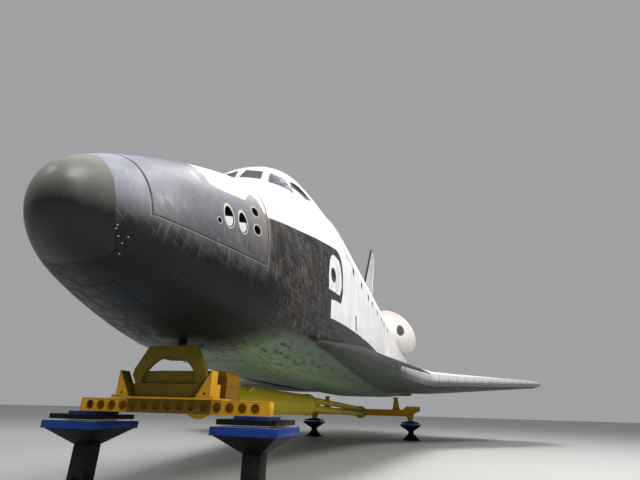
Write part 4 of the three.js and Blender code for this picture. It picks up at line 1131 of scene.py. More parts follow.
@dataclass(frozen=True)
class Hull:
    """The orbiter's body lines.

    Above its widest waterline a section is a superellipse of power `crown`, and below it one of
    power `belly`. The rows give station, half width, bottom, widest, top, belly and crown.
    """

    rows: Table = (
        (238, 2.5, 337.5, 340, 342.5, 2, 2), (239.5, 9.5, 330, 340, 349.5, 2, 2),
        (243, 17, 322, 339, 356.5, 2, 2), (257, 31.5, 308, 337, 369.5, 2.1, 2.05),
        (267, 38.5, 302.5, 335, 376, 2.1, 2.15), (280, 45.5, 297.5, 334, 383, 2.2, 2.3),
        (300, 53, 291.5, 333, 392.8, 2.3, 2.6), (350, 68.8, 281.5, 331, 413.4, 2.6, 2.85),
        (380, 77, 277.5, 331, 423, 2.9, 2.9), (432, 87, 273, 331, 440.8, 3.6, 2.45),
        (444, 88.8, 272.3, 332, 454.5, 3.8, 2.3), (468, 92, 271.2, 334, 487, 4.1, 2.3),
        (480, 93.5, 270.8, 336, 497.5, 4.3, 2.35), (496, 95.5, 270.3, 341, 502, 4.5, 2.35),
        (522, 98.5, 269.6, 354, 502.5, 4.9, 2.3), (582, 102, 268.5, 392, 502, 6, 2),
        (640, 102, 268, 400, 502, 8, 2), (1307, 102, 267.5, 400, 502, 8, 2),
        (1370, 106.5, 268, 388, 500, 7, 2.1), (1440, 114, 270.5, 372, 496, 6, 2.3),
        (1511, 121, 275.5, 360, 490, 5.5, 2.5),
    )
    blunt: float = 237.4
    tip_stations: tuple[float, ...] = (238.0, 238.4, 239, 240, 241.5, 243.5, 246, 249, 252.5)

    @cached_property
    def section(self) -> Callable[[float], list[float]]:
        """Reads a section's half width, bottom, widest line, top and powers at a station."""
        return smooth_table(self.rows, lambda station: math.sqrt(max(station - self.blunt, 0.0)))

    def solid(self, start: float, end: float, grow: float = 0.0, floor: float = -math.inf,
              gap: float = 2.5, around: int = 144) -> Shape:
        """Makes the closed hull between two stations.

        Args:
            start: The first station.
            end: The last.
            grow: Inches outside the skin.
            floor: Waterline that nothing goes below.
            gap: Inches between two rings.
            around: Points in a ring.

        Returns:
            A closed shape.
        """

        def place(station: float, turn: float) -> Vector:
            """Places one point of one ring."""
            half, bottom, widest, top, belly, crown = self.section(station)
            across, up = math.cos(turn), math.sin(turn)
            power = 2 / (crown if up > 0 else belly)
            reach = (top - widest if up > 0 else widest - bottom) + grow
            y = math.copysign(abs(across) ** power, across) * (half + grow)
            z = widest + math.copysign(abs(up) ** power, up) * reach
            return at(station, y, max(z, floor))

        near = [station for station in self.tip_stations if start <= station < end]
        rest = spaced(max(start, near[-1] + 3 if near else start), end, gap)
        return loft([*near, *rest], place, around)

    def skin(self, station: float, line: float, side: int) -> tuple[Vector, Vector]:
        """Finds the skin's point at a station and a waterline, and the way that it faces there.

        Args:
            station: Inches aft.
            line: Inches up.
            side: 1 for port and -1 for starboard.

        Returns:
            The point in metres and a vector of length 1.
        """

        def point(aft: float, up: float) -> Vector:
            """Finds the point at another station and waterline."""
            half, bottom, widest, top, belly, crown = self.section(aft)
            reach, power = (top - widest, crown) if up > widest else (widest - bottom, belly)
            share = min(abs(up - widest) / reach, 1.0)
            return at(aft, side * half * (1 - share ** power) ** (1 / power), up)

        along = point(station + 1, line) - point(station - 1, line)
        upward = point(station, line + 1) - point(station, line - 1)
        way = along.cross(upward).normalized()
        return point(station, line), way if way.y * side > 0 else -way


HULL = Hull()
SEAM_GAP = 0.2
SEAM = 0.4724
WALL = 4.5
THRUSTERS = (
    Opening(333, 357, 4.65, 47),
    Opening(347.5, 358, 4.75, 47),
    Opening(362.7, 374, 3.9, 0),
    Opening(364.2, 358.5, 4.1, 0),
    Opening(324, 350, 1.9, 20),
)
THRUSTER_SKINS = tuple(HULL.skin(o.station, o.line, 1)[0].y / INCH for o in THRUSTERS)


@dataclass
class Nose:
    """Nose cap, forward fuselage and the forward thrusters' module."""

    cap_joint: Outline = (
        (253, 386), (253.8, 362.2), (254.5, 350.6), (256.5, 337.7), (258.6, 328.6), (260.8, 322.2),
        (264.6, 315.6), (269.6, 309), (270.4, 307), (269.6, 304.6), (267.6, 302), (267.2, 290),
    )
    plugs: Outline = (
        (262.6, 321.2), (263, 319.2), (266.1, 315.8), (270, 316.4), (269.8, 312.8), (273.1, 307.8),
    )
    front_low: float = 275.7
    front_high: float = 261.5
    rear: float = 378.0
    floor: float = 333.5
    roof: float = 403.0
    cabin: tuple[float, float] = (432.0, 570.0)
    mid_deck: float = 306.0
    top_holes: Table = ((352, 392, 350.5, 440), (318, 382, 290, 404))
    door: tuple[float, float, float, float] = (288, 374, 0.25, 16)
    door_thick: float = 4.0

    def cap_region(self, back: float) -> Shape:
        """Makes everything ahead of the curved joint behind the cap."""
        joint = [(station + back, line) for station, line in self.cap_joint]
        return side_prism([*joint, (200, 290), (200, 386)], 80)

    def module_region(self, grow: float) -> Shape:
        """Makes the block that holds the thrusters' module.

        Args:
            grow: Inches that it is grown by.

        Returns:
            A closed shape.
        """
        lean = (self.front_low - self.front_high) / (self.roof - self.floor)
        back, low, high = self.rear + grow, self.floor - grow, self.roof + 40
        front_low = self.front_low + lean * grow - grow
        front_high = self.front_high - lean * 40 - grow
        return side_prism([(front_low, low), (front_high, high), (back, high), (back, low)], 95)

    def door_region(self, side: int, grow: float) -> Shape:
        """Makes the block that cuts a nose gear door out of the skin.

        Args:
            side: 1 for port and -1 for starboard.
            grow: Inches that it is grown by.

        Returns:
            A closed shape.
        """
        front, back, inner, outer = self.door
        top = HULL.section(front)[1] + self.door_thick + (0.012 if grow else 0.0)
        return block(*on_side(side, (back + grow, inner - grow, 255), (front - grow, outer + grow, top)))

    def build_cap(self) -> None:
        """Builds the nose cap and the plugs beside it."""
        cap = piece("nose_cap_shell", HULL.solid(HULL_FRONT, 288, gap=1.6))
        carve(cap, [self.cap_region(0)], Cut.KEEP)
        dress(cap, [Paint.CAP], "carbon", "nose_cap")
        plugs = []
        for _, side in SIDES:
            for station, line in self.plugs:
                middle, way = HULL.skin(station, line, side)
                ends = middle - way * 0.03, middle + way * 0.004
                plugs.append(rod(*ends, 0.42 * INCH, around=16, bevel=0.002))
        put("cap_plugs", plugs, Paint.PALE, "white_tile")

    def build_shell(self) -> None:
        """Builds the forward fuselage with its cabin, windows, hatch and doors cut out."""
        shell = piece("forward_shell", HULL.solid(HULL_FRONT, BAY_FRONT - 0.1))
        reveals = [shape for side in (1, -1) for shape in WINDOWS.openings(side)]
        cuts = (
            [self.cap_region(SEAM_GAP), self.module_region(SEAM_GAP / 2)],
            [HULL.solid(*self.cabin, -WALL, self.mid_deck, gap=6, around=96)],
            reveals + HATCH.openings(),
            [self.door_region(side, 0.47) for side in (1, -1)],
        )
        for inner, shapes in enumerate(cuts):
            carve(shell, shapes, Cut.AWAY, inner)
        dress(shell, [Paint.HULL, Paint.CABIN, Paint.RUBBER, Paint.DARK], "white_tile", "forward_fuselage")
        for word, side in SIDES:
            door = piece(f"nose_gear_door_skin_{word}", HULL.solid(280, 384, gap=3))
            carve(door, [self.door_region(side, 0)], Cut.KEEP)
            dress(door, [Paint.HULL], "black_tile", f"nose_gear_door_{word}")

    def build_module(self) -> None:
        """Builds the thrusters' module with its nozzles and their covers."""
        module = piece("thruster_module_shell", HULL.solid(246.5, 398))
        carve(module, [self.module_region(-SEAM_GAP / 2)], Cut.KEEP)
        holes, covers = [], []
        for _, side in SIDES:
            for opening, skin in zip(THRUSTERS, THRUSTER_SKINS):
                middle, way = opening.axis(side, skin)
                radius = opening.radius * INCH
                holes.append(rod(middle - way * 0.36, middle + way * 0.5, radius * 0.85, radius * 1.2, 40))
                if opening.tilt > 40:
                    covers.append(self.cover(middle, way, radius))
        for station, line, out_station, out_line in self.top_holes:
            for y in (-14.4, 0, 14.4):
                ends = at(station, y, line), at(out_station, y, out_line)
                holes.append(rod(*ends, 3.1 * INCH, 5 * INCH, 36))
        carve(module, holes, Cut.AWAY, 1)
        dress(module, [Paint.HULL, Paint.DARK], "black_tile", "thruster_module")
        lids = carve(piece("thruster_covers", gather(covers)), [HULL.solid(310, 380, -0.7)], Cut.KEEP)
        dress(lids, [Paint.COVER], "white_tile")

    def cover(self, middle: Vector, way: Vector, radius: float) -> Shape:
        """Makes the plug that closes the lower half of a slanted nozzle.

        Args:
            middle: The opening's middle.
            way: The way that it looks.
            radius: Its radius, in metres.

        Returns:
            A closed shape.
        """
        disc = rod(middle - way * 0.08, middle + way * 0.2, radius * 1.04)
        cut = bmesh.ops.bisect_plane(disc, geom=[*disc.verts, *disc.edges, *disc.faces],
                                     plane_co=middle, plane_no=(0.36, 0, 1), clear_outer=True)["geom_cut"]
        bmesh.ops.holes_fill(disc, edges=[item for item in cut if isinstance(item, bmesh.types.BMEdge)])
        bmesh.ops.recalc_face_normals(disc, faces=disc.faces)
        return disc

    def build(self) -> None:
        """Builds the whole nose."""
        self.build_cap()
        self.build_shell()
        self.build_module()


@dataclass(frozen=True)
class Windows:
    """The six forward windows and the two in the roof.

    Each pane has its corners on the port side in order, as inches aft, to port and up.
    """

    panes: tuple[tuple[Point, ...], ...] = (
        ((455, 2.5, 468), (452.6, 30, 461.6), (463.6, 27, 477.8), (465, 5, 484)),
        ((452.1, 39.2, 456.6), (462.5, 65.7, 445.1), (468.3, 50.7, 469), (463.9, 35.7, 474.5)),
        ((466.4, 61, 455.8), (477.9, 74.9, 444.6), (494.9, 75.9, 451.5), (472, 57, 466.6)),
        ((518, 8, 501.6), (518, 30, 498), (540, 30, 498.4), (540, 8, 501.9)),
    )
    corner: float = 0.06

    def outlines(self, side: int) -> list[tuple[list[Vector], Vector]]:
        """Flattens each opening's outline.

        Args:
            side: 1 for port and -1 for starboard.

        Returns:
            Each opening's corners and the way that it faces.
        """
        found = []
        for corners in self.panes:
            points = on_side(side, *corners)
            way = (points[2] - points[0]).cross(points[3] - points[1]).normalized()
            way = way if way.z > 0 else -way
            middle = sum(points, Vector()) / len(points)
            found.append(([p - way * (p - middle).dot(way) for p in points], way))
        return found

    def openings(self, side: int) -> list[Shape]:
        """Makes the solids that cut the openings through the wall."""
        return [prism([p - way * 14 * INCH for p in points], way * 26 * INCH, self.corner)
                for points, way in self.outlines(side)]

    def shrunk(self, points: Sequence[Vector], inset: float) -> list[Vector]:
        """Moves an outline's sides in evenly.

        Args:
            points: Its corners.
            inset: How far, in metres.

        Returns:
            The new corners.
        """
        shape = bmesh.new()
        face = shape.faces.new([shape.verts.new(point) for point in points])
        bmesh.ops.inset_region(shape, faces=[face], thickness=inset, use_even_offset=True)
        found = [vert.co.copy() for vert in face.verts]
        shape.free()
        return found

    def ring(self, points: Sequence[Vector], way: Vector, thick: float, outer: float, inner: float) -> Shape:
        """Makes a flat rounded ring that follows an opening.

        Args:
            points: The opening's corners.
            way: The way that it faces.
            thick: The ring's thickness, in metres.
            outer: Inset of its outer side.
            inner: Inset of its inner side.

        Returns:
            A closed shape.
        """
        shape = bmesh.new()
        for inset in (outer + 0.002, inner):
            verts = [shape.verts.new(point) for point in self.shrunk(points, inset)]
            for pair in zip(verts, verts[1:] + verts[:1]):
                shape.edges.new(pair)
            soften(shape, verts, self.corner * 0.8, 6, "VERTICES")
        bmesh.ops.bridge_loops(shape, edges=list(shape.edges))
        return thicken(shape, way * thick)

    def build(self) -> None:
        """Builds each pane, its seal and its retainer frame."""
        outlines = [outline for _, side in SIDES for outline in self.outlines(side)]
        panes = [prism([p - way * 0.014 for p in points], way * 0.02, self.corner, 6)
                 for points, way in outlines]
        seals = [self.ring(*outline, 0.014, 0.0, 0.03) for outline in outlines]
        frames = [self.ring(*outline, 0.01, 0.03, 0.055) for outline in outlines]
        put("window_panes", panes, Paint.GLASS, "glass", "windshield")
        put("window_seals", seals, Paint.RUBBER, "cabin_grey")
        put("window_frames", frames, Paint.CABIN, "cabin_grey")


WINDOWS = Windows()


@dataclass(frozen=True)
class Hatch:
    """The round side hatch and its window, in inches.

    Each ring is a closed profile of distances outward and radii, in metres.
    """

    station: float = 522.0
    line: float = 369.0
    radius: float = 20.0
    window: float = 5.0
    thick: float = 2.6
    ledge: float = 1.6
    inner_ring: Outline = ((-0.066, 0.30), (-0.052, 0.30), (-0.052, 0.27), (-0.066, 0.27))

    def bar(self, radius: float, around: int = 96) -> Shape:
        """Makes a round bar through the port wall."""
        start, end = (at(self.station, buttline, self.line) for buttline in (70, 120))
        return rod(start, end, radius * INCH, around=around)

    def openings(self) -> list[Shape]:
        """Makes the solids that cut the hatch's stepped opening.

        Returns:
            The wide outer one and the narrow inner one.
        """
        stepped = piece("hatch_step", self.bar(self.radius))
        carve(stepped, [HULL.solid(470, 575, -self.thick - 0.05, gap=6)], Cut.AWAY)
        step = bmesh.new()
        step.from_mesh(stepped.data)
        bpy.data.objects.remove(stepped)
        return [step, self.bar(self.radius - self.ledge)]

    def build(self) -> None:
        """Builds the hatch with its window, the window's rim and the ring inside."""
        panel = piece("hatch_panel", HULL.solid(470, 575, gap=4))
        carve(panel, [HULL.solid(465, 580, -self.thick, gap=6)], Cut.AWAY, 1)
        carve(panel, [self.bar(self.radius - 0.47)], Cut.KEEP)
        carve(panel, [self.bar(self.window, 64)], Cut.AWAY, 2)
        dress(panel, [Paint.HULL, Paint.CABIN, Paint.RUBBER], "white_felt", "side_hatch", body="hatch")
        skin, way = HULL.skin(self.station, self.line, 1)
        radius = self.window * INCH
        rim = [(-0.03, radius * 1.7), (0.0, radius * 1.7), (0.006, radius * 1.6), (0.009, radius * 1.0),
               (0.002, radius * 0.86), (-0.03, radius * 0.86)]
        pane = rod(skin - way * 0.04, skin - way * 0.022, radius * 0.95, around=64, bevel=0.002)
        put("hatch_window_rim", turned(rim, facing(skin, way)), Paint.RUBBER, "cabin_grey", body="hatch")
        put("hatch_window_pane", pane, Paint.GLASS, "glass", "hatch_window", body="hatch")
        ring = turned(self.inner_ring, facing(skin, way))
        put("hatch_inner_ring", ring, Paint.CABIN, "cabin_grey", body="hatch")


HATCH = Hatch()


def swept(ends: Sequence[float], radii: Sequence[float], centre: Vector, start: float, sweep: float,
          steps: int) -> Shape:
    """Sweeps a rectangle round the line along X through a centre.

    Args:
        ends: Lowest and highest x.
        radii: Smallest and largest radius.
        centre: A point of the line.
        start: Where the sweep starts, in radians up from port.
        sweep: How far it goes.
        steps: Faces along it.

    Returns:
        A closed shape whose "skin" UV map runs along it and round it in metres.
    """
    shape = bmesh.new()
    corners = [(x, r) for r, way in zip(radii, (1, -1)) for x in ends[::way]]
    places = [(x, centre.y + math.cos(start) * r, centre.z + math.sin(start) * r) for x, r in corners]
    face = shape.faces.new([shape.verts.new(point) for point in places])
    bmesh.ops.spin(shape, geom=[*face.verts, *face.edges, face], cent=centre, axis=(1, 0, 0),
                   dvec=(0, 0, 0), angle=sweep, steps=steps, use_merge=False)
    bmesh.ops.holes_fill(shape, edges=[edge for edge in shape.edges if edge.is_boundary])
    bmesh.ops.recalc_face_normals(shape, faces=shape.faces)
    skin = shape.loops.layers.uv.new("skin")
    for face in shape.faces:
        for loop in face.loops:
            arm = loop.vert.co - centre
            loop[skin].uv = (loop.vert.co.x, math.atan2(arm.z, arm.y) * radii[1])
    return shape


@dataclass
class Bay:
    """Mid fuselage with the payload bay, its doors and their radiators, in inches."""

    front: float = BAY_FRONT
    back: float = BAY_BACK
    centre: float = 400.0
    radius: float = 93.0
    door_radius: float = 102.0
    door_thick: float = 4.0
    radiator_thick: float = 1.6
    sill: float = 414.0
    pads: int = 7
    frames: int = 13
    rails: Outline = ((412.0, 89.0), (352.0, 77.5))
    hinge_covers: tuple[float, ...] = (630, 702, 775, 823, 896, 967, 1015, 1093)

    def middles(self, count: int) -> list[float]:
        """Lists the stations of fittings that are spread evenly along the bay."""
        pitch = (self.back - self.front) / count
        return [self.front + pitch * (i + 0.5) for i in range(count)]

    def door_angles(self) -> tuple[float, float]:
        """Gives the angles of a door's two edges, seen from the bay's middle."""
        inside = self.door_radius - self.door_thick - self.radiator_thick
        return math.asin((self.sill - self.centre + SEAM) / inside), math.pi / 2 - SEAM / 2 / inside

    def arc(self, side: int, outer: float, thick: float) -> Shape:
        """Makes a quarter ring over the bay.

        Args:
            side: 1 for port and -1 for starboard.
            outer: Its outer radius.
            thick: Its thickness.

        Returns:
            A closed shape.
        """
        low, high = self.door_angles()
        ends = at(self.back - SEAM, 0, 0).x, at(self.front + SEAM, 0, 0).x
        radii = (outer - thick) * INCH, outer * INCH
        start = low if side > 0 else math.pi - low
        return swept(ends, radii, at(self.front, 0, self.centre), start, (high - low) * side, 40)

    def pad_blocks(self) -> list[Shape]:
        """Makes the low blocks on both sills that carry the doors.

        Returns:
            The blocks.
        """
        low, _ = self.door_angles()
        inside = self.door_radius - self.door_thick
        inner, top = inside * math.cos(low) + 0.024, self.centre + inside * math.sin(low) - 0.012
        return [block(*on_side(side, (station - 4, inner, self.sill - 1), (station + 4, 100, top)))
                for _, side in SIDES for station in self.middles(self.pads)]

    def build_trough(self) -> None:
        """Builds the mid fuselage and what lines its bay."""
        shell = piece("mid_shell", HULL.solid(self.front, self.back, gap=24, around=160))
        ends = (at(station, 0, self.centre) for station in (self.front - 10, self.back + 10))
        lid = block(at(self.front - 5, -110, self.sill), at(self.back + 5, 110, 520))
        carve(shell, [rod(*ends, self.radius * INCH, around=96), lid], Cut.AWAY, 1)
        carve(shell, self.pad_blocks(), Cut.JOIN, 1)
        dress(shell, [Paint.HULL, Paint.LINER], "white_felt", "mid_fuselage")
        radii = (self.radius - 3.2) * INCH, (self.radius + 0.5) * INCH
        ribs = []
        for station in self.middles(self.frames):
            centre = at(station, 0, self.centre)
            ends = centre.x - 0.035, centre.x + 0.035
            ribs.append(swept(ends, radii, centre, math.radians(-174), math.radians(168), 48))
        put("bay_frames", ribs, Paint.LINER, "cabin_grey")
        rails = []
        for _, side in SIDES:
            for line, inset in self.rails:
                ends = on_side(side, (self.front + 3, inset, line), (self.back - 3, inset, line))
                rails.append(rod(*ends, 0.035, around=16))
        put("bay_rails", rails, Paint.BOLT, "engine_steel")

    def build_covers(self) -> None:
        """Builds the small dark hinge covers below both sills and the slot's cover on the port side."""
        covers = [block(*on_side(side, (station + 4.7, 100, 402.5), (station - 4.7, 102.08, 411.5)))
                  for _, side in SIDES for station in self.hinge_covers]
        put("door_hinge_covers", covers, Paint.RUBBER, "black_tile")
        slot = block(at(651, 101.4, 328.5), at(644.5, 102.25, 349), 0.005)
        put("side_slot_cover", slot, Paint.RUBBER, "black_tile")

    def build_doors(self) -> None:
        """Builds both doors and the radiators that ride on them."""
        inside = self.door_radius - self.door_thick - 0.012
        for word, side in SIDES:
            door = self.arc(side, self.door_radius, self.door_thick)
            plate = self.arc(side, inside, self.radiator_thick)
            body = f"bay_door_{word}"
            put(f"bay_door_skin_{word}", door, Paint.DOOR, "white_felt", body, body=body)
            put(f"radiator_plate_{word}", plate, Paint.RADIATOR, "radiator_silver", f"radiator_{word}",
                body=body)

    def build(self) -> None:
        """Builds the whole bay."""
        self.build_trough()
        self.build_doors()
        self.build_covers()


def thrust_frame(gimbal: Point, up: float, outboard: float) -> Matrix:
    """Gives the frame at an engine's gimbal point whose Z axis is its thrust line, aft.

    Args:
        gimbal: The point, as inches aft, to port and up.
        up: Degrees that the line rises aft.
        outboard: Degrees that it swings to port.

    Returns:
        The frame.
    """
    rise, swing = math.radians(up), math.radians(outboard)
    way = Vector((-math.cos(rise) * math.cos(swing), math.sin(swing), math.sin(rise)))
    return facing(at(*gimbal), way)


def axial(place: Matrix, start: float, end: float, radius: float, far: float, around: int = 64) -> Shape:
    """Makes a cone round an engine's thrust line, all in inches aft of its gimbal point."""
    ends = (place @ Vector((0, 0, along * INCH)) for along in (start, end))
    return rod(*ends, radius * INCH, far * INCH, around)


@dataclass
class Tail:
    """Aft fuselage, manoeuvring pods and engines, in inches.

    A bell's rows give distances aft and outer radii. A pod's give station, buttline and waterline
    of its middle, half width and half height. An engine has its gimbal point, and the degrees that
    its thrust line rises and swings to port.
    """

    engines: tuple = (
        ("main_nozzle_top", (1445, 0, 443), 16, 0),
        ("main_nozzle_port", (1468, 53, 342.6), 10, 3.5),
        ("main_nozzle_starboard", (1468, -53, 342.6), 10, -3.5),
    )
    main_bell: Outline = ((50, 15), (60, 20.5), (75, 27.5), (97, 35), (127, 42), (157, 47))
    pod_bell: Outline = ((16, 7.5), (26, 12.5), (42, 18), (60, 21.5), (74, 23.2))
    wall: float = 1.4
    flap: tuple[float, float, float, float] = (1532, 287, 126, 9.5)
    pod: Table = (
        (1311, 80, 462, 4, 4), (1315, 80, 463, 15, 16), (1324, 81, 464, 27, 29), (1340, 83, 465, 38, 42),
        (1366, 86, 466, 47, 53), (1405, 89, 466, 54, 61), (1450, 91.5, 466, 59, 66),
        (1490, 91.5, 466, 59, 66), (1514, 89, 466, 54, 60),
    )
    lean: float = 0.33
    pod_engine: tuple = ((1498, 82, 486), 15.8, 6.5)
    housing: tuple[Point, Point] = ((1488, 92, 452), (1556, 126, 492))
    side_jets: Outline = ((1520, 464), (1520, 480), (1533, 464), (1533, 480), (1546, 464), (1546, 480))
    rear_jets: tuple[float, float] = (465, 479)

    def pod_frame(self, side: int) -> Matrix:
        """Gives the frame of a pod's engine."""
        (station, out, line), up, outboard = self.pod_engine
        return thrust_frame((station, side * out, line), up, side * outboard)

    def build_body(self) -> None:
        """Builds the aft fuselage with its domes and the flap's shelf."""
        hinge, line, half, thick = self.flap
        places = [thrust_frame(*engine[1:]) for engine in self.engines]
        ends = at(hinge, -half - 2, line), at(hinge, half + 2, line)
        shelf = block(at(1507, 4 - half, 277), at(hinge - 1, half - 4, line + 14))
        saddles = [block(at(hinge - 2 * thick, y - 2, line - 4), at(hinge, y + 2, line + 4))
                   for y in (-88, 0, 88)]
        body = piece("aft_shell", HULL.solid(BAY_BACK + 0.02, HULL_BACK, gap=12, around=160))
        carve(body, [shelf], Cut.JOIN)
        carve(body, [axial(place, 22, 68, 44, 29.5) for place in places], Cut.JOIN, 1)
        carve(body, [axial(place, 49.98, 120, 22, 46) for place in places], Cut.AWAY, 1)
        carve(body, [rod(*ends, thick * INCH + 0.012, around=64)], Cut.AWAY, 2)
        carve(body, saddles, Cut.JOIN, 1)
        carve(body, [rod(*ends, seat_radius(thick), around=96)], Cut.AWAY, 1)
        dress(body, [Paint.HULL, Paint.DOME, Paint.DARK], "white_felt", "aft_fuselage")

    def build_bell(self, name: str, rows: Outline, place: Matrix, hoops: Sequence[float]) -> Shape:
        """Builds an engine bell with its stiffening hoops.

        Args:
            name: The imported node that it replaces.
            rows: Distances aft and outer radii.
            place: The engine's frame.
            hoops: Distances aft of the hoops.

        Returns:
            The dark disc at the bell's bottom.
        """
        read = smooth_table(rows)
        first, start = rows[0][0], (rows[0][0] + 3) * INCH
        steps = spaced(first, rows[-1][0], 4.0)
        outer = [(s * INCH, read(s)[0] * INCH) for s in steps]
        inner = [(s * INCH, (read(s)[0] - self.wall) * INCH) for s in steps]
        inner[0] = (start, inner[0][1])
        shapes = [turned([(first * INCH, 0.0), *outer, *reversed(inner), (start, 0.0)], place, 96)]
        for hoop in hoops:
            x, radius = hoop * INCH, read(hoop)[0] * INCH
            ring = [(x - 0.03, radius - 0.01), (x - 0.02, radius + 0.025), (x + 0.02, radius + 0.03),
                    (x + 0.03, radius)]
            shapes.append(turned(ring, place, 96))
        put(name.replace("nozzle", "bell"), shapes, Paint.BELL, "engine_steel", name)
        throat = rows[0][1] - self.wall - 0.1
        return axial(place, first + 2.8, first + 3.3, throat, throat)

    def build_engines(self) -> None:
        """Builds the three main bells and the two pod bells."""
        throats = [self.build_bell(name, self.main_bell, thrust_frame(*aim), range(66, 151, 12))
                   for name, *aim in self.engines]
        for word, side in SIDES:
            name = f"pod_nozzle_{word}"
            throats.append(self.build_bell(name, self.pod_bell, self.pod_frame(side), (30, 44, 58, 70)))
        # The throat discs take near-black painted shade.
        put("engine_throats", throats, Paint.DARK, "engine_steel")

    def build_pods(self) -> None:
        """Builds both manoeuvring pods with their thruster housings."""
        read = smooth_table(self.pod, lambda station: math.sqrt(station - 1310.4))
        steps = [*spaced(1311, 1325, 1.6), *spaced(1330, 1514, 6)]
        for word, side in SIDES:

            def place(station: float, turn: float, way: int = side) -> Vector:
                """Places one point of a pod's skin."""
                centre, line, wide, high = read(station)
                up = math.sin(turn) * high
                return at(station, way * (centre + math.cos(turn) * wide - up * self.lean), line + up)

            jets = [((station, 120, line), (station, 130, line)) for station, line in self.side_jets]
            jets += [((1550, 109, line), (1560, 109, line)) for line in self.rear_jets]
            cuts = [rod(*on_side(side, *ends), 0.1, 0.12, 32) for ends in jets]
            cuts.append(axial(self.pod_frame(side), 15.98, 90, 11, 27, 48))
            pod = piece(f"pod_skin_{word}", loft(steps, place, 96))
            carve(pod, [block(*on_side(side, *self.housing), 0.08, 4)], Cut.JOIN)
            carve(pod, cuts, Cut.AWAY, 1)
            dress(pod, [Paint.POD, Paint.DARK], "pod_beige", f"pod_{word}")

    def build(self) -> None:
        """Builds the whole tail."""
        self.build_body()
        self.build_pods()
        self.build_engines()


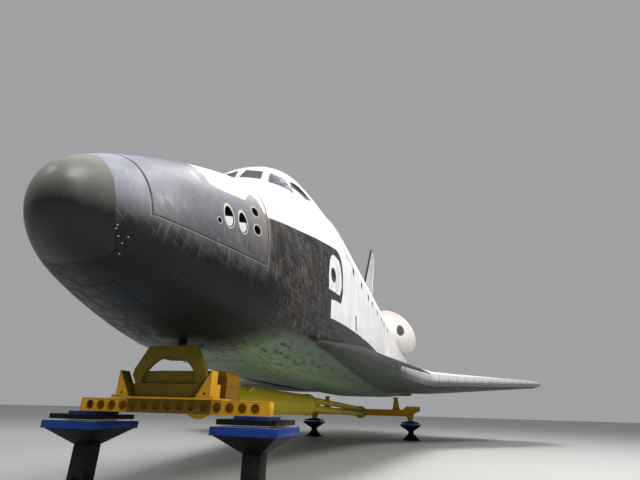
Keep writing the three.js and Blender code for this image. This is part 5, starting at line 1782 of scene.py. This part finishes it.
@dataclass
class Wing:
    """One wing and its carbon leading edge, cut clear of its elevons and gear door, in inches.

    The rows give buttline, leading station, chord line, thickness above and below, and the
    powers that set how full the section is.
    """

    word: str
    side: int
    rows: Table = (
        (84, 430, 287, 38, 17.5, 0.92, 1.0), (106, 492, 287, 38, 17.5, 0.92, 0.95),
        (130, 660, 287.5, 36.5, 17, 0.86, 0.85), (160, 850, 288.5, 34, 16.5, 0.8, 0.78),
        (182, 972, 289.5, 31.5, 16, 0.75, 0.74), (200, 1030, 290.2, 29.5, 15.4, 0.72, 0.72),
        (260, 1096, 293, 24, 13.2, 0.68, 0.68), (350, 1186, 297.5, 17, 10, 0.64, 0.66),
        (440, 1276, 302, 10.5, 6.8, 0.62, 0.66), (458, 1297, 302.9, 8.6, 5.6, 0.62, 0.66),
        (466, 1318, 303.3, 5.6, 3.8, 0.62, 0.66), (468.3, 1345, 303.5, 2.6, 1.8, 0.62, 0.66),
    )
    hinge: float = 1387.0
    root: float = 121.0
    tip: float = 468.3
    trail_root: float = 1505.0
    trail_tip: float = 1442.0
    hinge_end: float = 440.0
    edge_start: float = 150.0
    edge_depth: float = 15.0
    brackets: tuple[float, ...] = (145, 288, 337, 436)
    gear_door: tuple[Point, Point] = ((1046, 112, 250), (1186, 168, 275.52))

    def row(self, buttline: float) -> list[float]:
        """Reads the wing's lead, line, thicknesses and powers.

        Args:
            buttline: Inches out.

        Returns:
            The row's numbers there.
        """
        i = max(j for j in range(len(self.rows) - 1) if j == 0 or self.rows[j][0] <= buttline)
        low, high = self.rows[i], self.rows[i + 1]
        share = (buttline - low[0]) / (high[0] - low[0])
        return [a + (b - a) * share for a, b in zip(low[1:], high[1:])]

    def trail(self, buttline: float) -> float:
        """Gives the station of the trailing edge."""
        slope = (self.trail_tip - self.trail_root) / (self.tip - self.root)
        return self.trail_root + (buttline - self.root) * slope

    def heights(self, row: Sequence[float], share: float) -> tuple[float, float]:
        """Gives a section's waterlines.

        Args:
            row: The section's numbers.
            share: Share of the chord.

        Returns:
            The upper and the lower waterline there.
        """
        _, line, above, below, bulge, nose = row
        full = math.sin(math.pi * min(share, 0.9999) ** bulge) ** nose
        edge = 0.35 * min(share / 0.02, 1.0)
        return line + above * full + edge, line - below * full - edge

    def hinge_at(self, buttline: float) -> tuple[float, float]:
        """Gives the section's middle waterline and half thickness on the hinge line.

        Args:
            buttline: Inches out.

        Returns:
            Both.
        """
        row = self.row(buttline)
        up, down = self.heights(row, (self.hinge - row[0]) / (self.trail(buttline) - row[0]))
        return (up + down) / 2, (up - down) / 2

    def hinge_line(self, buttline: float) -> tuple[float, float]:
        """Reads the straight hinge line.

        Args:
            buttline: Inches out.

        Returns:
            Its waterline and half thickness there.
        """
        share = (buttline - self.root) / (self.hinge_end - self.root)
        ends = zip(self.hinge_at(self.root), self.hinge_at(self.hinge_end))
        line, half = (a + share * (b - a) for a, b in ends)
        return line, half

    def place(self, buttline: float, turn: float) -> Vector:
        """Places one point of the wing's skin.

        Args:
            buttline: Inches out.
            turn: Turn round the section, in radians.

        Returns:
            The point in metres.
        """
        row = self.row(buttline)
        share = (1 + math.cos(turn)) / 2
        up, down = self.heights(row, share)
        station = row[0] + share * (self.trail(buttline) - row[0])
        return at(station, self.side * buttline, up if math.sin(turn) > 0 else down)

    def cove_place(self, buttline: float, turn: float) -> Vector:
        """Places one point of the wall round the room that the elevons turn in.

        Args:
            buttline: Inches out.
            turn: Turn round the hinge line, in radians.

        Returns:
            The point in metres.
        """
        line, half = self.hinge_line(buttline)
        blade_line, blade_half = self.hinge_at(min(max(buttline, self.root), self.hinge_end))
        radius = max(blade_half + abs(blade_line - line), half) * 1.035 + 0.4
        aft = self.hinge + math.cos(turn) * radius
        return at(aft, self.side * buttline, line + math.sin(turn) * radius)

    def ahead(self, name: str, inner: int) -> Piece:
        """Makes the wing ahead of its hinge line, with a material slot of its own for the cut."""
        made = piece(name, loft(spaced(96, self.tip, 8, [row[0] for row in self.rows]), self.place, 128))
        return carve(made, [self.box((self.hinge, 0, 200), (1560, self.tip + 5, 400))], Cut.AWAY, inner)

    def box(self, start: Point, end: Point) -> Shape:
        """Makes a box between two corners, as inches aft, out and up."""
        return block(*on_side(self.side, start, end))

    def build_room(self, wing: Piece) -> None:
        """Cuts the room for the elevons, their brackets and their hinge bars.

        Args:
            wing: The wing.
        """
        keys = [row[0] for row in self.rows if self.root < row[0] < self.tip - 9]
        cove = loft([self.root - SEAM, *keys, self.tip + 5], self.cove_place, 64)
        blocks, ends = [], []
        for buttline in self.brackets:
            line, half = self.hinge_line(buttline)
            blocks.append(self.box((self.hinge - 2 * half, buttline - 1.5, line - half / 2),
                                   (self.hinge, buttline + 1.5, line + half / 2)))
        for buttline in (self.root - SEAM, self.tip + 5):
            line, half = self.hinge_line(buttline)
            ends.append((at(self.hinge, self.side * buttline, line), seat_radius(half)))
        (start, radius), (end, far) = ends
        carve(wing, [cove], Cut.AWAY, 1)
        carve(wing, blocks, Cut.JOIN, 1)
        carve(wing, [rod(start, end, radius, far, 96)], Cut.AWAY, 1)

    def edge_region(self, shift: float) -> Shape:
        """Makes the strip of the plan ahead of the leading edge's joint.

        Args:
            shift: Inches that its joint lies further aft.

        Returns:
            A closed shape.
        """
        outline = []
        for key in (self.edge_start, *(row[0] for row in self.rows if row[0] > self.edge_start)):
            depth = self.edge_depth * (2.2 if key < 210 else 1.4)
            outline.append((self.row(key)[0] + depth + shift, key))
        end = self.tip + 10
        outline += [(self.rows[-1][1] + self.edge_depth + shift, end), (900, end), (500, self.edge_start)]
        points = on_side(self.side, *((station, out, 240) for station, out in outline))
        return prism(points, Vector((0, 0, 120 * INCH)))

    def build(self) -> None:
        """Builds the wing and its leading edge."""
        wing, edge = self.ahead(f"wing_skin_{self.word}", 1), self.ahead(f"leading_edge_{self.word}", 0)
        self.build_room(wing)
        (front, inner, low), (back, outer, top) = self.gear_door
        door = self.box((front - SEAM, inner - SEAM, low), (back + SEAM, outer + SEAM, top))
        carve(edge, [self.edge_region(0.0)], Cut.KEEP)
        carve(wing, [self.edge_region(0.3)], Cut.AWAY, 0)
        carve(wing, [door], Cut.AWAY, 1)
        dress(wing, [Paint.WING, Paint.DARK], "black_tile", f"wing_{self.word}")
        dress(edge, [Paint.EDGE], "carbon", f"wing_edge_{self.word}")


def both_sides(half: Outline) -> list[tuple[float, float]]:
    """Adds the mirror image of the port half of an outline."""
    return [*half, *((-y, z) for y, z in reversed(half))]


def crosswise(outline: Outline, front: float, deep: float) -> Shape:
    """Makes a solid from an outline of (y, z) pairs in metres, from its front face aft."""
    return prism([(front, y, z) for y, z in outline], Vector((-deep, 0, 0)))


def tube(front: float, back: float, line: float, radius: float, bevel: float = 0.0) -> Shape:
    """Makes a round bar along X in the middle plane, in metres."""
    return rod((front, 0, line), (back, 0, line), radius, around=96, bevel=bevel)


def tapered(x: float, y: float, low: float, low_wide: float, high: float, high_wide: float) -> Shape:
    """Makes a square column whose width changes from its foot to its head, in metres.

    Args:
        x: Where its middle is, along.
        y: And to port.
        low: Height of its foot.
        low_wide: Width of its foot.
        high: Height of its head.
        high_wide: Width of its head.

    Returns:
        A closed shape.
    """
    shape = block((x - 0.5, y - 0.5, low), (x + 0.5, y + 0.5, high))
    for vert in shape.verts:
        wide = low_wide if vert.co.z < (low + high) / 2 else high_wide
        vert.co.x = x + (vert.co.x - x) * wide
        vert.co.y = y + (vert.co.y - y) * wide
    return soften(shape, shape.edges, 0.01)


def strip(start: Sequence[float], end: Sequence[float], front: float, deep: float, thick: float) -> Shape:
    """Makes a flat bar across the X axis.

    Args:
        start: One end's y and z, in metres.
        end: The other's.
        front: Where its front edge is.
        deep: How far it reaches aft.
        thick: Its thickness, to the left of the way from start to end.

    Returns:
        A closed shape.
    """
    way = Vector((end[0] - start[0], end[1] - start[1])).normalized() * thick
    shape = crosswise([start, end, (end[0] - way.y, end[1] + way.x), (start[0] - way.y, start[1] + way.x)],
                      front, deep)
    return soften(shape, shape.edges, 0.003)


def bolt(point: Point, way: Point, radius: float = 0.018) -> Shape:
    """Makes a hexagonal bolt head that stands on a point."""
    start, up = Vector(point), Vector(way)
    return rod(start - up * 0.004, start + up * radius * 0.8, radius, around=6, bevel=0.002)


def steel(name: str, shapes: Sequence[Shape], finish: Paint, *stands_for: str) -> Piece:
    """Makes one piece of the transporter's painted steel."""
    return put(name, shapes, finish, "transporter_yellow", *stands_for)


@dataclass
class Transporter:
    """The yellow steel frame that holds the orbiter, in metres."""

    cradle_x: float = 14.6304
    rear_x: float = -8.7884
    beam_front: float = 14.745
    beam_half: float = 2.1
    beam_low: float = 1.557
    beam_top: float = 1.815
    beam_deep: float = 0.19
    plate: float = 0.02
    doubler: tuple[float, float] = (-0.968, 0.879)
    holes: int = 15
    pitch: float = 0.2625
    hole: float = 0.078
    shift: float = -0.035
    arch_front: float = 14.96
    arch_half: Outline = ((0.72, 2.1), (0.81, 2.25), (0.79, 2.38), (0.53, 2.82))
    base_top: float = 1.847
    gusset_front: float = 15.09
    gusset_deep: float = 0.25
    gusset_top: float = 2.335
    box_half: float = 0.94
    box_ends: tuple[float, float] = (14.3, 13.63)
    box_low: float = 1.71
    box_top: float = 2.41
    box_corner: float = 0.18
    tube_line: float = 1.895
    tube_end: float = 5.0
    rear_line: float = 1.66
    rear_low: float = 1.47
    rear_top: float = 2.1
    post_foot: float = 1.88
    post_y: float = 2.4511

    def pierced(self, name: str, shape: Shape, places: Sequence[float], finish: Paint,
                *stands_for: str) -> None:
        """Makes a plate of the front beam with its lightening holes.

        Args:
            name: The piece's name.
            shape: The plate.
            places: Where the holes are, to port.
            finish: Its finish.
            *stands_for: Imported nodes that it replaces.
        """
        x, z = self.beam_front, (self.beam_low + self.beam_top) / 2
        bars = [rod((x + 0.1, y, z), (x - 0.1, y, z), self.hole, around=40) for y in places]
        dress(carve(piece(name, shape), bars, Cut.AWAY), [finish], "transporter_yellow", *stands_for)

    def build_beam(self) -> None:
        """Builds the front beam: a pierced web ahead of a plain one, flanges, a doubler and rims."""
        front, back, plate = self.beam_front, self.beam_front - self.beam_deep, self.plate
        half, low, top = self.beam_half, self.beam_low, self.beam_top
        places = [self.pitch * (i - (self.holes - 1) / 2) + self.shift for i in range(self.holes)]
        start, end = self.doubler
        inside = [y for y in places if start < y < end]
        web = block((front - plate, 0.004 - half, low + 0.001), (front, half - 0.004, top - 0.001))
        over = block((front + 0.001, start, low + 0.004), (front + 0.03, end, top + 0.003), 0.003)
        self.pierced("front_beam_webs", web, places, Paint.YELLOW, "transporter_front_beam")
        # The doubler takes the shaded yellow: painted shade on the beam's middle.
        self.pierced("front_beam_doubler", over, inside, Paint.SHADED_YELLOW)
        flanges = [block((back + 0.01, 0.004 - half, low + 0.001), (back + 0.02, half - 0.004, top - 0.001))]
        for z in (low, top - plate):
            flanges.append(block((back, -half, z), (front + 0.012, half, z + plate), 0.003))
        for y in (-half, half - plate):
            flanges.append(block((back + 0.004, y, low + plate - 0.001),
                                 (front + 0.008, y + plate, top - plate + 0.001), 0.003))
        steel("front_beam_flanges", flanges, Paint.YELLOW)
        ring = [(0.0, self.hole), (0.0, self.hole + 0.012), (0.008, self.hole + 0.011), (0.01, self.hole)]
        rims = []
        for y in places:
            middle = Vector((front + (0.029 if y in inside else -0.001), y, (low + top) / 2))
            rims.append(turned(ring, facing(middle, Vector((1, 0, 0))), 40))
        # The hole rims take the shaded yellow: painted shade.
        steel("front_beam_rims", rims, Paint.SHADED_YELLOW)

    def build_cradle(self) -> None:
        """Builds the open arch, the panel in it, the box under it, the pad and the gussets."""
        front, foot, low = self.arch_front, self.arch_half[0][1], self.base_top
        shape = crosswise(both_sides(self.arch_half), front, 0.12)
        arch = piece("cradle_arch", soften(shape, shape.edges, 0.006))
        opening = tube(front + 1, front - 2, 0, 1.0)
        squash = Matrix.Translation((0, 0, foot)) @ Matrix.Diagonal((1, 0.6, 0.52, 1))
        bmesh.ops.transform(opening, matrix=squash, verts=opening.verts)
        carve(arch, [opening], Cut.AWAY)
        # The arch and the panels in it take the shaded yellow: painted shade.
        dress(arch, [Paint.SHADED_YELLOW], "transporter_yellow", "transporter_cradle")
        steel("cradle_panels", [
            block((front - 0.11, -0.62, foot), (front - 0.09, 0.62, 2.34), 0.003),
            block((self.box_ends[0] + 0.002, -0.71, low), (front, 0.71, foot), 0.008),
            block((front - 0.01, -0.7, 2.026), (front + 0.006, 0.7, 2.034), 0.002),
            block((14.46, -0.3, 2.58), (front - 0.115, 0.3, 2.8), 0.006),
        ], Paint.SHADED_YELLOW)
        base = block((14.36, -1.11, self.beam_top + 0.001), (15.11, 1.11, low - 0.001), 0.004)
        steel("cradle_base", [base], Paint.YELLOW)
        # The pad takes the black seal finish: a rubber pad, and painted shade under the belly.
        pad = rod((self.cradle_x, 0, 2.79), (self.cradle_x, 0, 2.925), 0.09, around=64, bevel=0.006)
        put("cradle_pad", pad, Paint.RUBBER, "engine_steel")
        for word, side in SIDES:
            self.build_gusset(word, side)

    def build_gusset(self, word: str, side: int) -> None:
        """Builds a triangular gusset with its flange plates and the block behind it.

        Args:
            word: Its side's name.
            side: Its side.
        """
        foot, high = self.base_top, self.gusset_top
        front, back = self.gusset_front, self.gusset_front - self.gusset_deep
        outline = [(0.71, foot), (1.016, foot), (1.016, high - 0.004), (0.994, high - 0.004)]
        shape = crosswise([(side * y, z) for y, z in outline], front - 0.006, 0.02)
        hole = rod((front + 0.2, side * 0.9, 1.92), (front - 0.4, side * 0.9, 1.92), 0.025, around=32)
        web = carve(piece(f"cradle_gusset_{word}", shape), [hole], Cut.AWAY)
        dress(web, [Paint.YELLOW], "transporter_yellow")
        slope = [(side * 0.99, high), (side * 0.7, foot)][::side]
        # The sloping flange takes the shaded yellow: painted shade.
        steel(f"gusset_slope_{word}", [strip(*slope, front, self.gusset_deep, 0.016)], Paint.SHADED_YELLOW)
        steel(f"gusset_blocks_{word}", [
            block((back, side * 1.004, foot), (front, side * 1.02, high), 0.003),
            block((14.55, side * 0.712, foot), (back - 0.002, side * 0.95, 2.105), 0.006),
            block((back, side * 1.02, foot), (front, side * 1.105, foot + 0.03), 0.003),
        ], Paint.YELLOW)

    def build_box(self) -> None:
        """Builds the box across the spine, with rounded ends, a band round it and end frames."""
        (front, back), half, low, top = self.box_ends, self.box_half, self.box_low, self.box_top
        shell = crosswise([(-half, low), (half, low), (half, top), (-half, top)], front, front - back)
        upper = [edge for edge in shell.edges
                 if all(vert.co.z > top - 0.01 and abs(vert.co.y) > half - 0.01 for vert in edge.verts)]
        parts = [soften(shell, upper, self.box_corner, 10),
                 block((back - 0.002, -half - 0.012, 2.088), (front + 0.002, half + 0.012, 2.112), 0.003)]
        for _, side in SIDES:
            for x in (front - 0.03, back + 0.005):
                parts.append(block((x, side * (half - 0.03), low),
                                   (x + 0.025, side * (half + 0.012), top - self.box_corner), 0.003))
        # The box's darker yellow is partly painted shade under the belly.
        steel("cross_box", parts, Paint.BOX)

    def build_spine(self) -> None:
        """Builds the thick tube with its lug, the three slim tubes behind it and their bolts."""
        line, end, back = self.tube_line, self.tube_end, self.rear_x + 0.32
        parts = [tube(self.box_ends[1] + 0.05, end, line, 0.375)]
        for x, radius, long in ((self.box_ends[1], 0.45, 0.03), (end + 0.09, 0.41, 0.09), (9.2, 0.39, 0.03)):
            parts.append(tube(x, x - long, line, radius, 0.006))
        out, half = Vector((0, 0.8, 0.6)), Vector((0.13, 0, 0))
        across = Vector((0, -0.6, 0.8)) * 0.015
        seat = Vector((11.65, 0, line)) + out * 0.36 - across
        parts.append(prism([seat + half, seat - half, seat + out * 0.2], across * 2, 0.03))
        steel("spine_tube", parts, Paint.TUBE_YELLOW, "transporter_spine_front")
        slim = [tube(end - 0.001, end - 0.081, line, 0.39, 0.006),
                tube(back + 0.081, back + 0.001, self.rear_line, 0.39, 0.006)]
        for y, z in ((-0.2, -0.12), (0.2, -0.12), (0, 0.21)):
            slim.append(rod((end - 0.041, y, line + z), (back + 0.041, y, self.rear_line + z), 0.125))
        steel("spine_slim_tubes", slim, Paint.TUBE_YELLOW, "transporter_spine_rear")
        bolts = []
        for x, height, radius in ((end + 0.09, line, 0.392), (back + 0.081, self.rear_line, 0.362)):
            for i in range(16):
                turn = math.tau * i / 16
                spot = (x, math.cos(turn) * radius, height + math.sin(turn) * radius)
                bolts.append(bolt(spot, (1, 0, 0)))
        put("spine_bolts", bolts, Paint.BOLT, "engine_steel")

    def build_rear(self) -> None:
        """Builds the rear beam with its legs, and the posts on it."""
        front, low, top, inner = self.rear_x + 0.32, self.rear_low, self.rear_top, self.post_foot
        outline = both_sides([(3.2, low), (4.05, low + 0.35), (4.05, top), (3.15, top), (2.9, inner)])
        inset = both_sides([(3.19, low + 0.006), (4.044, low + 0.354), (4.044, top - 0.006),
                            (3.154, top - 0.006), (2.904, inner - 0.006)])
        parts = [crosswise(inset, front - 0.03, 0.58),
                 tube(front + 0.01, front - 0.65, self.rear_line, 0.37, 0.008)]
        for start, end in zip(outline, outline[1:] + outline[:1]):
            parts.append(strip(start, end, front, 0.64, 0.022))
        for _, side in SIDES:
            parts.append(tapered(self.rear_x, side * 3.37, 1.17, 0.28, 1.72, 0.62))
            for y in (1.0, 1.7, 2.45):
                parts.append(block((front - 0.03, side * y - 0.01, low + 0.022),
                                   (front - 0.004, side * y + 0.01, inner - 0.022)))
        steel("rear_beam_frame", parts, Paint.YELLOW, "transporter_rear_beam")
        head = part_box("transporter_post_port")[1].z
        neck = head - 0.12
        for word, side in SIDES:
            x, y = self.rear_x, side * self.post_y
            steel(f"rear_post_{word}", [
                block((x - 0.26, y - 0.26, inner + 0.001), (x + 0.26, y + 0.26, inner + 0.061), 0.004),
                rod((x, y, inner + 0.05), (x, y, neck), 0.23, 0.13, 64),
                rod((x, y, neck - 0.001), (x, y, head - 0.026), 0.17, around=64, bevel=0.01),
            ], Paint.YELLOW, f"transporter_post_{word}")

    def build(self) -> None:
        """Builds the whole transporter."""
        self.build_beam()
        self.build_cradle()
        self.build_box()
        self.build_spine()
        self.build_rear()


@dataclass
class Pedestal:
    """One sliding isolator and the black pedestal under it, in metres."""

    name: str
    x: float
    y: float
    top: float
    lower: float = 1.27
    upper: float = 1.12
    cap: float = 0.67
    slider: float = 0.64
    rib: Outline = ((0.17, 0.06), (0.5, 0.06), (0.5, 0.085), (0.17, 0.42))
    bolts: float = 0.46

    def plate(self, low: float, wide: float, thick: float, bevel: float = 0.004) -> Shape:
        """Makes a square plate at a height."""
        half = wide / 2
        return block((self.x - half, self.y - half, low), (self.x + half, self.y + half, low + thick), bevel)

    def build(self) -> None:
        """Builds the isolator's plates, the column, its head and its base."""
        foot = self.top - 0.32
        blue = [self.plate(foot, self.lower, 0.14, 0.006),
                self.plate(self.top - 0.056, self.cap, 0.056, 0.006)]
        put(f"isolator_{self.name}_blue", blue, Paint.BLUE, "isolator_blue", f"isolator_{self.name}")
        upper = self.plate(foot + 0.175, self.upper, 0.09, 0.006)
        put(f"isolator_{self.name}_upper", upper, Paint.NAVY, "isolator_blue")
        slide = [self.plate(foot + 0.139, self.lower - 0.06, 0.006, 0.001),
                 self.plate(foot + 0.139, self.slider, 0.037, 0.002),
                 self.plate(foot + 0.169, self.upper - 0.05, 0.007, 0.001)]
        put(f"isolator_{self.name}_slide", slide, Paint.BRIGHT, "engine_steel")
        head = foot - 0.001
        parts = [tapered(self.x, self.y, head - 0.3, 0.35, head - 0.02, 1.13),
                 self.plate(head - 0.022, 1.15, 0.022),
                 tapered(self.x, self.y, 0.059, 0.35, head - 0.299, 0.35),
                 self.plate(0, 1.1, 0.06, 0.005)]
        for way in (1, -1):
            rib = [(a * way, z) for a, z in self.rib]
            parts.append(crosswise([(self.y + a, z) for a, z in rib], self.x + 0.01, 0.02))
            parts.append(prism([(self.x + a, self.y - 0.01, z) for a, z in rib], Vector((0, 0.02, 0))))
        put(f"pedestal_{self.name}_frame", parts, Paint.BLACK, "pedestal_black", f"pedestal_{self.name}")
        bolts = [bolt((self.x + i * self.bolts, self.y + j * self.bolts, 0.06), (0, 0, 1), 0.03)
                 for i in (-1, 1) for j in (-1, 1)]
        put(f"pedestal_{self.name}_bolts", bolts, Paint.BOLT, "engine_steel")


@dataclass
class Cabin:
    """Seats, lockers and the instrument panel that show through the hatch.

    A seat's cushions are given by two corners from its foot and a bevel, in metres.
    """

    cushions: tuple = (
        ((-0.22, -0.22, 0.3), (0.24, 0.22, 0.42), 0.03),
        ((-0.32, -0.21, 0.4), (-0.2, 0.21, 1.15), 0.03),
        ((-0.15, -0.15, 0.0), (0.15, 0.15, 0.3), 0.01),
    )
    seats: tuple[Point, ...] = ((476, 30, 412.05), (545, 24, 306.05))

    def seat(self, station: float, buttline: float, floor: float) -> list[Shape]:
        """Makes one seat that stands on a deck."""
        foot = at(station, buttline, floor)
        return [block(foot + Vector(low), foot + Vector(high), bevel) for low, high, bevel in self.cushions]

    def build(self) -> None:
        """Builds what is inside the crew cabin."""
        seats = []
        for station, buttline, floor in self.seats:
            for _, side in SIDES:
                seats += self.seat(station, side * buttline, floor)
        put("cabin_seats", seats, Paint.SEAT, "cabin_grey")
        panels = [block(at(447, -42, 412.02), at(456, 42, 440), 0.02),
                  block(at(452, -10, 412.02), at(476, 10, 432), 0.02)]
        put("cabin_panels", panels, Paint.RUBBER, "cabin_grey")
        lockers = [block(at(448, y + 0.5, line + 0.5), at(436, y + 17.5, line + 19.5), 0.008)
                   for y in range(-45, 45, 18) for line in range(310, 390, 20)]
        put("cabin_lockers", lockers, Paint.LINER, "cabin_grey")


CARRIED = {
    Paint.FIN: ("fin",),
    Paint.FELT: ("drag_chute_housing", "rudder_panel_port", "rudder_panel_starboard"),
    Paint.DOME: ("rudder_drum",),
    Paint.TILES: ("body_flap", "gear_door_port", "gear_door_starboard"),
    Paint.WING: (
        "elevon_inner_port", "elevon_outer_port", "elevon_inner_starboard", "elevon_outer_starboard",
    ),
    Paint.CABIN: ("flight_deck",),
}


def finish_carried() -> None:
    """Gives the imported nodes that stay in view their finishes."""
    for finish, names in CARRIED.items():
        for name in names:
            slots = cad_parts[name].data.materials
            slots.clear()
            slots.append(material(finish))


@dataclass
class Studio:
    """Pale floor, soft lights and the camera, whose turn is in degrees.

    Each light has its name, place, target, size and power.
    """

    place: Point = (22.508, 5.035, 1.688)
    turn: Point = (112.35111, -1.5039, 104.37273)
    lens: float = 23.325
    lights: tuple = (
        ("key_light", (14, 28, 24), (4, 2, 5), 9.0, 8000),
        ("top_light", (2, 4, 30), (0, 0, 5), 16.0, 8000),
        ("front_light", (32, 2, 20), (14, 0, 5), 7.0, 2200),
        ("nose_light", (29.4, -0.4, 13.5), (18.5, 0.2, 4.7), 0.7, 160),
        ("side_light", (23.3, -9.3, 14.0), (18.6, 0.0, 4.8), 0.7, 120),
    )

    def build_floor(self) -> None:
        """Builds the floor."""
        shape = bmesh.new()
        bmesh.ops.create_grid(shape, x_segments=2, y_segments=2, size=250.0)
        floor = piece("floor", shape)
        floor.data.materials.append(Ground().make("pale_floor"))

    def hang(self, name: str, data: bpy.types.Light | bpy.types.Camera, stand: Matrix) -> Piece:
        """Places a light or the camera.

        Args:
            name: Its name.
            data: What it is.
            stand: Where it stands and how it is turned.

        Returns:
            Its object.
        """
        made = bpy.data.objects.new(name, data)
        made.matrix_world = stand
        bpy.context.scene.collection.objects.link(made)
        return made

    def build_lights(self) -> None:
        """Hangs the soft lights and sets the even light round them."""
        for name, place, target, size, power in self.lights:
            data = bpy.data.lights.new(name, "AREA")
            data.shape = "DISK"
            data.size = size
            data.energy = power
            self.hang(name, data, facing(Vector(place), Vector(place) - Vector(target)))
        world = bpy.data.worlds.new("studio")
        world.use_nodes = True
        sky = world.node_tree.nodes["Background"]
        sky.inputs[0].default_value = tint("#e4e6e8")
        sky.inputs[1].default_value = 0.45
        bpy.context.scene.world = world
        bpy.context.scene.view_settings.view_transform = "Standard"

    def build_camera(self) -> None:
        """Places the camera."""
        data = bpy.data.cameras.new("camera")
        data.lens = self.lens
        data.sensor_width = 36.0
        data.sensor_fit = "HORIZONTAL"
        data.clip_end = 500.0
        turn = Euler([math.radians(angle) for angle in self.turn]).to_matrix().to_4x4()
        bpy.context.scene.camera = self.hang("camera", data, Matrix.Translation(self.place) @ turn)

    def build(self) -> None:
        """Builds the floor, the lights and the camera."""
        self.build_floor()
        self.build_lights()
        self.build_camera()


def main() -> None:
    """Builds every piece."""
    logging.basicConfig(level=logging.INFO, format="%(message)s")
    steel_frame = Transporter()
    wings = [Wing(word, side) for word, side in SIDES]
    stands = [Pedestal(f"{end}_{word}", x, side * y, top) for word, side in SIDES
              for end, x, y, top in (("front", steel_frame.cradle_x, 1.82, 1.5567),
                                     ("rear", steel_frame.rear_x, 3.37, 1.1697))]
    for part in (Nose(), WINDOWS, HATCH, Cabin(), Bay(), *wings, Tail(), steel_frame, *stands):
        part.build()
    finish_carried()
    Studio().build()


if __name__ == "__main__":
    main()
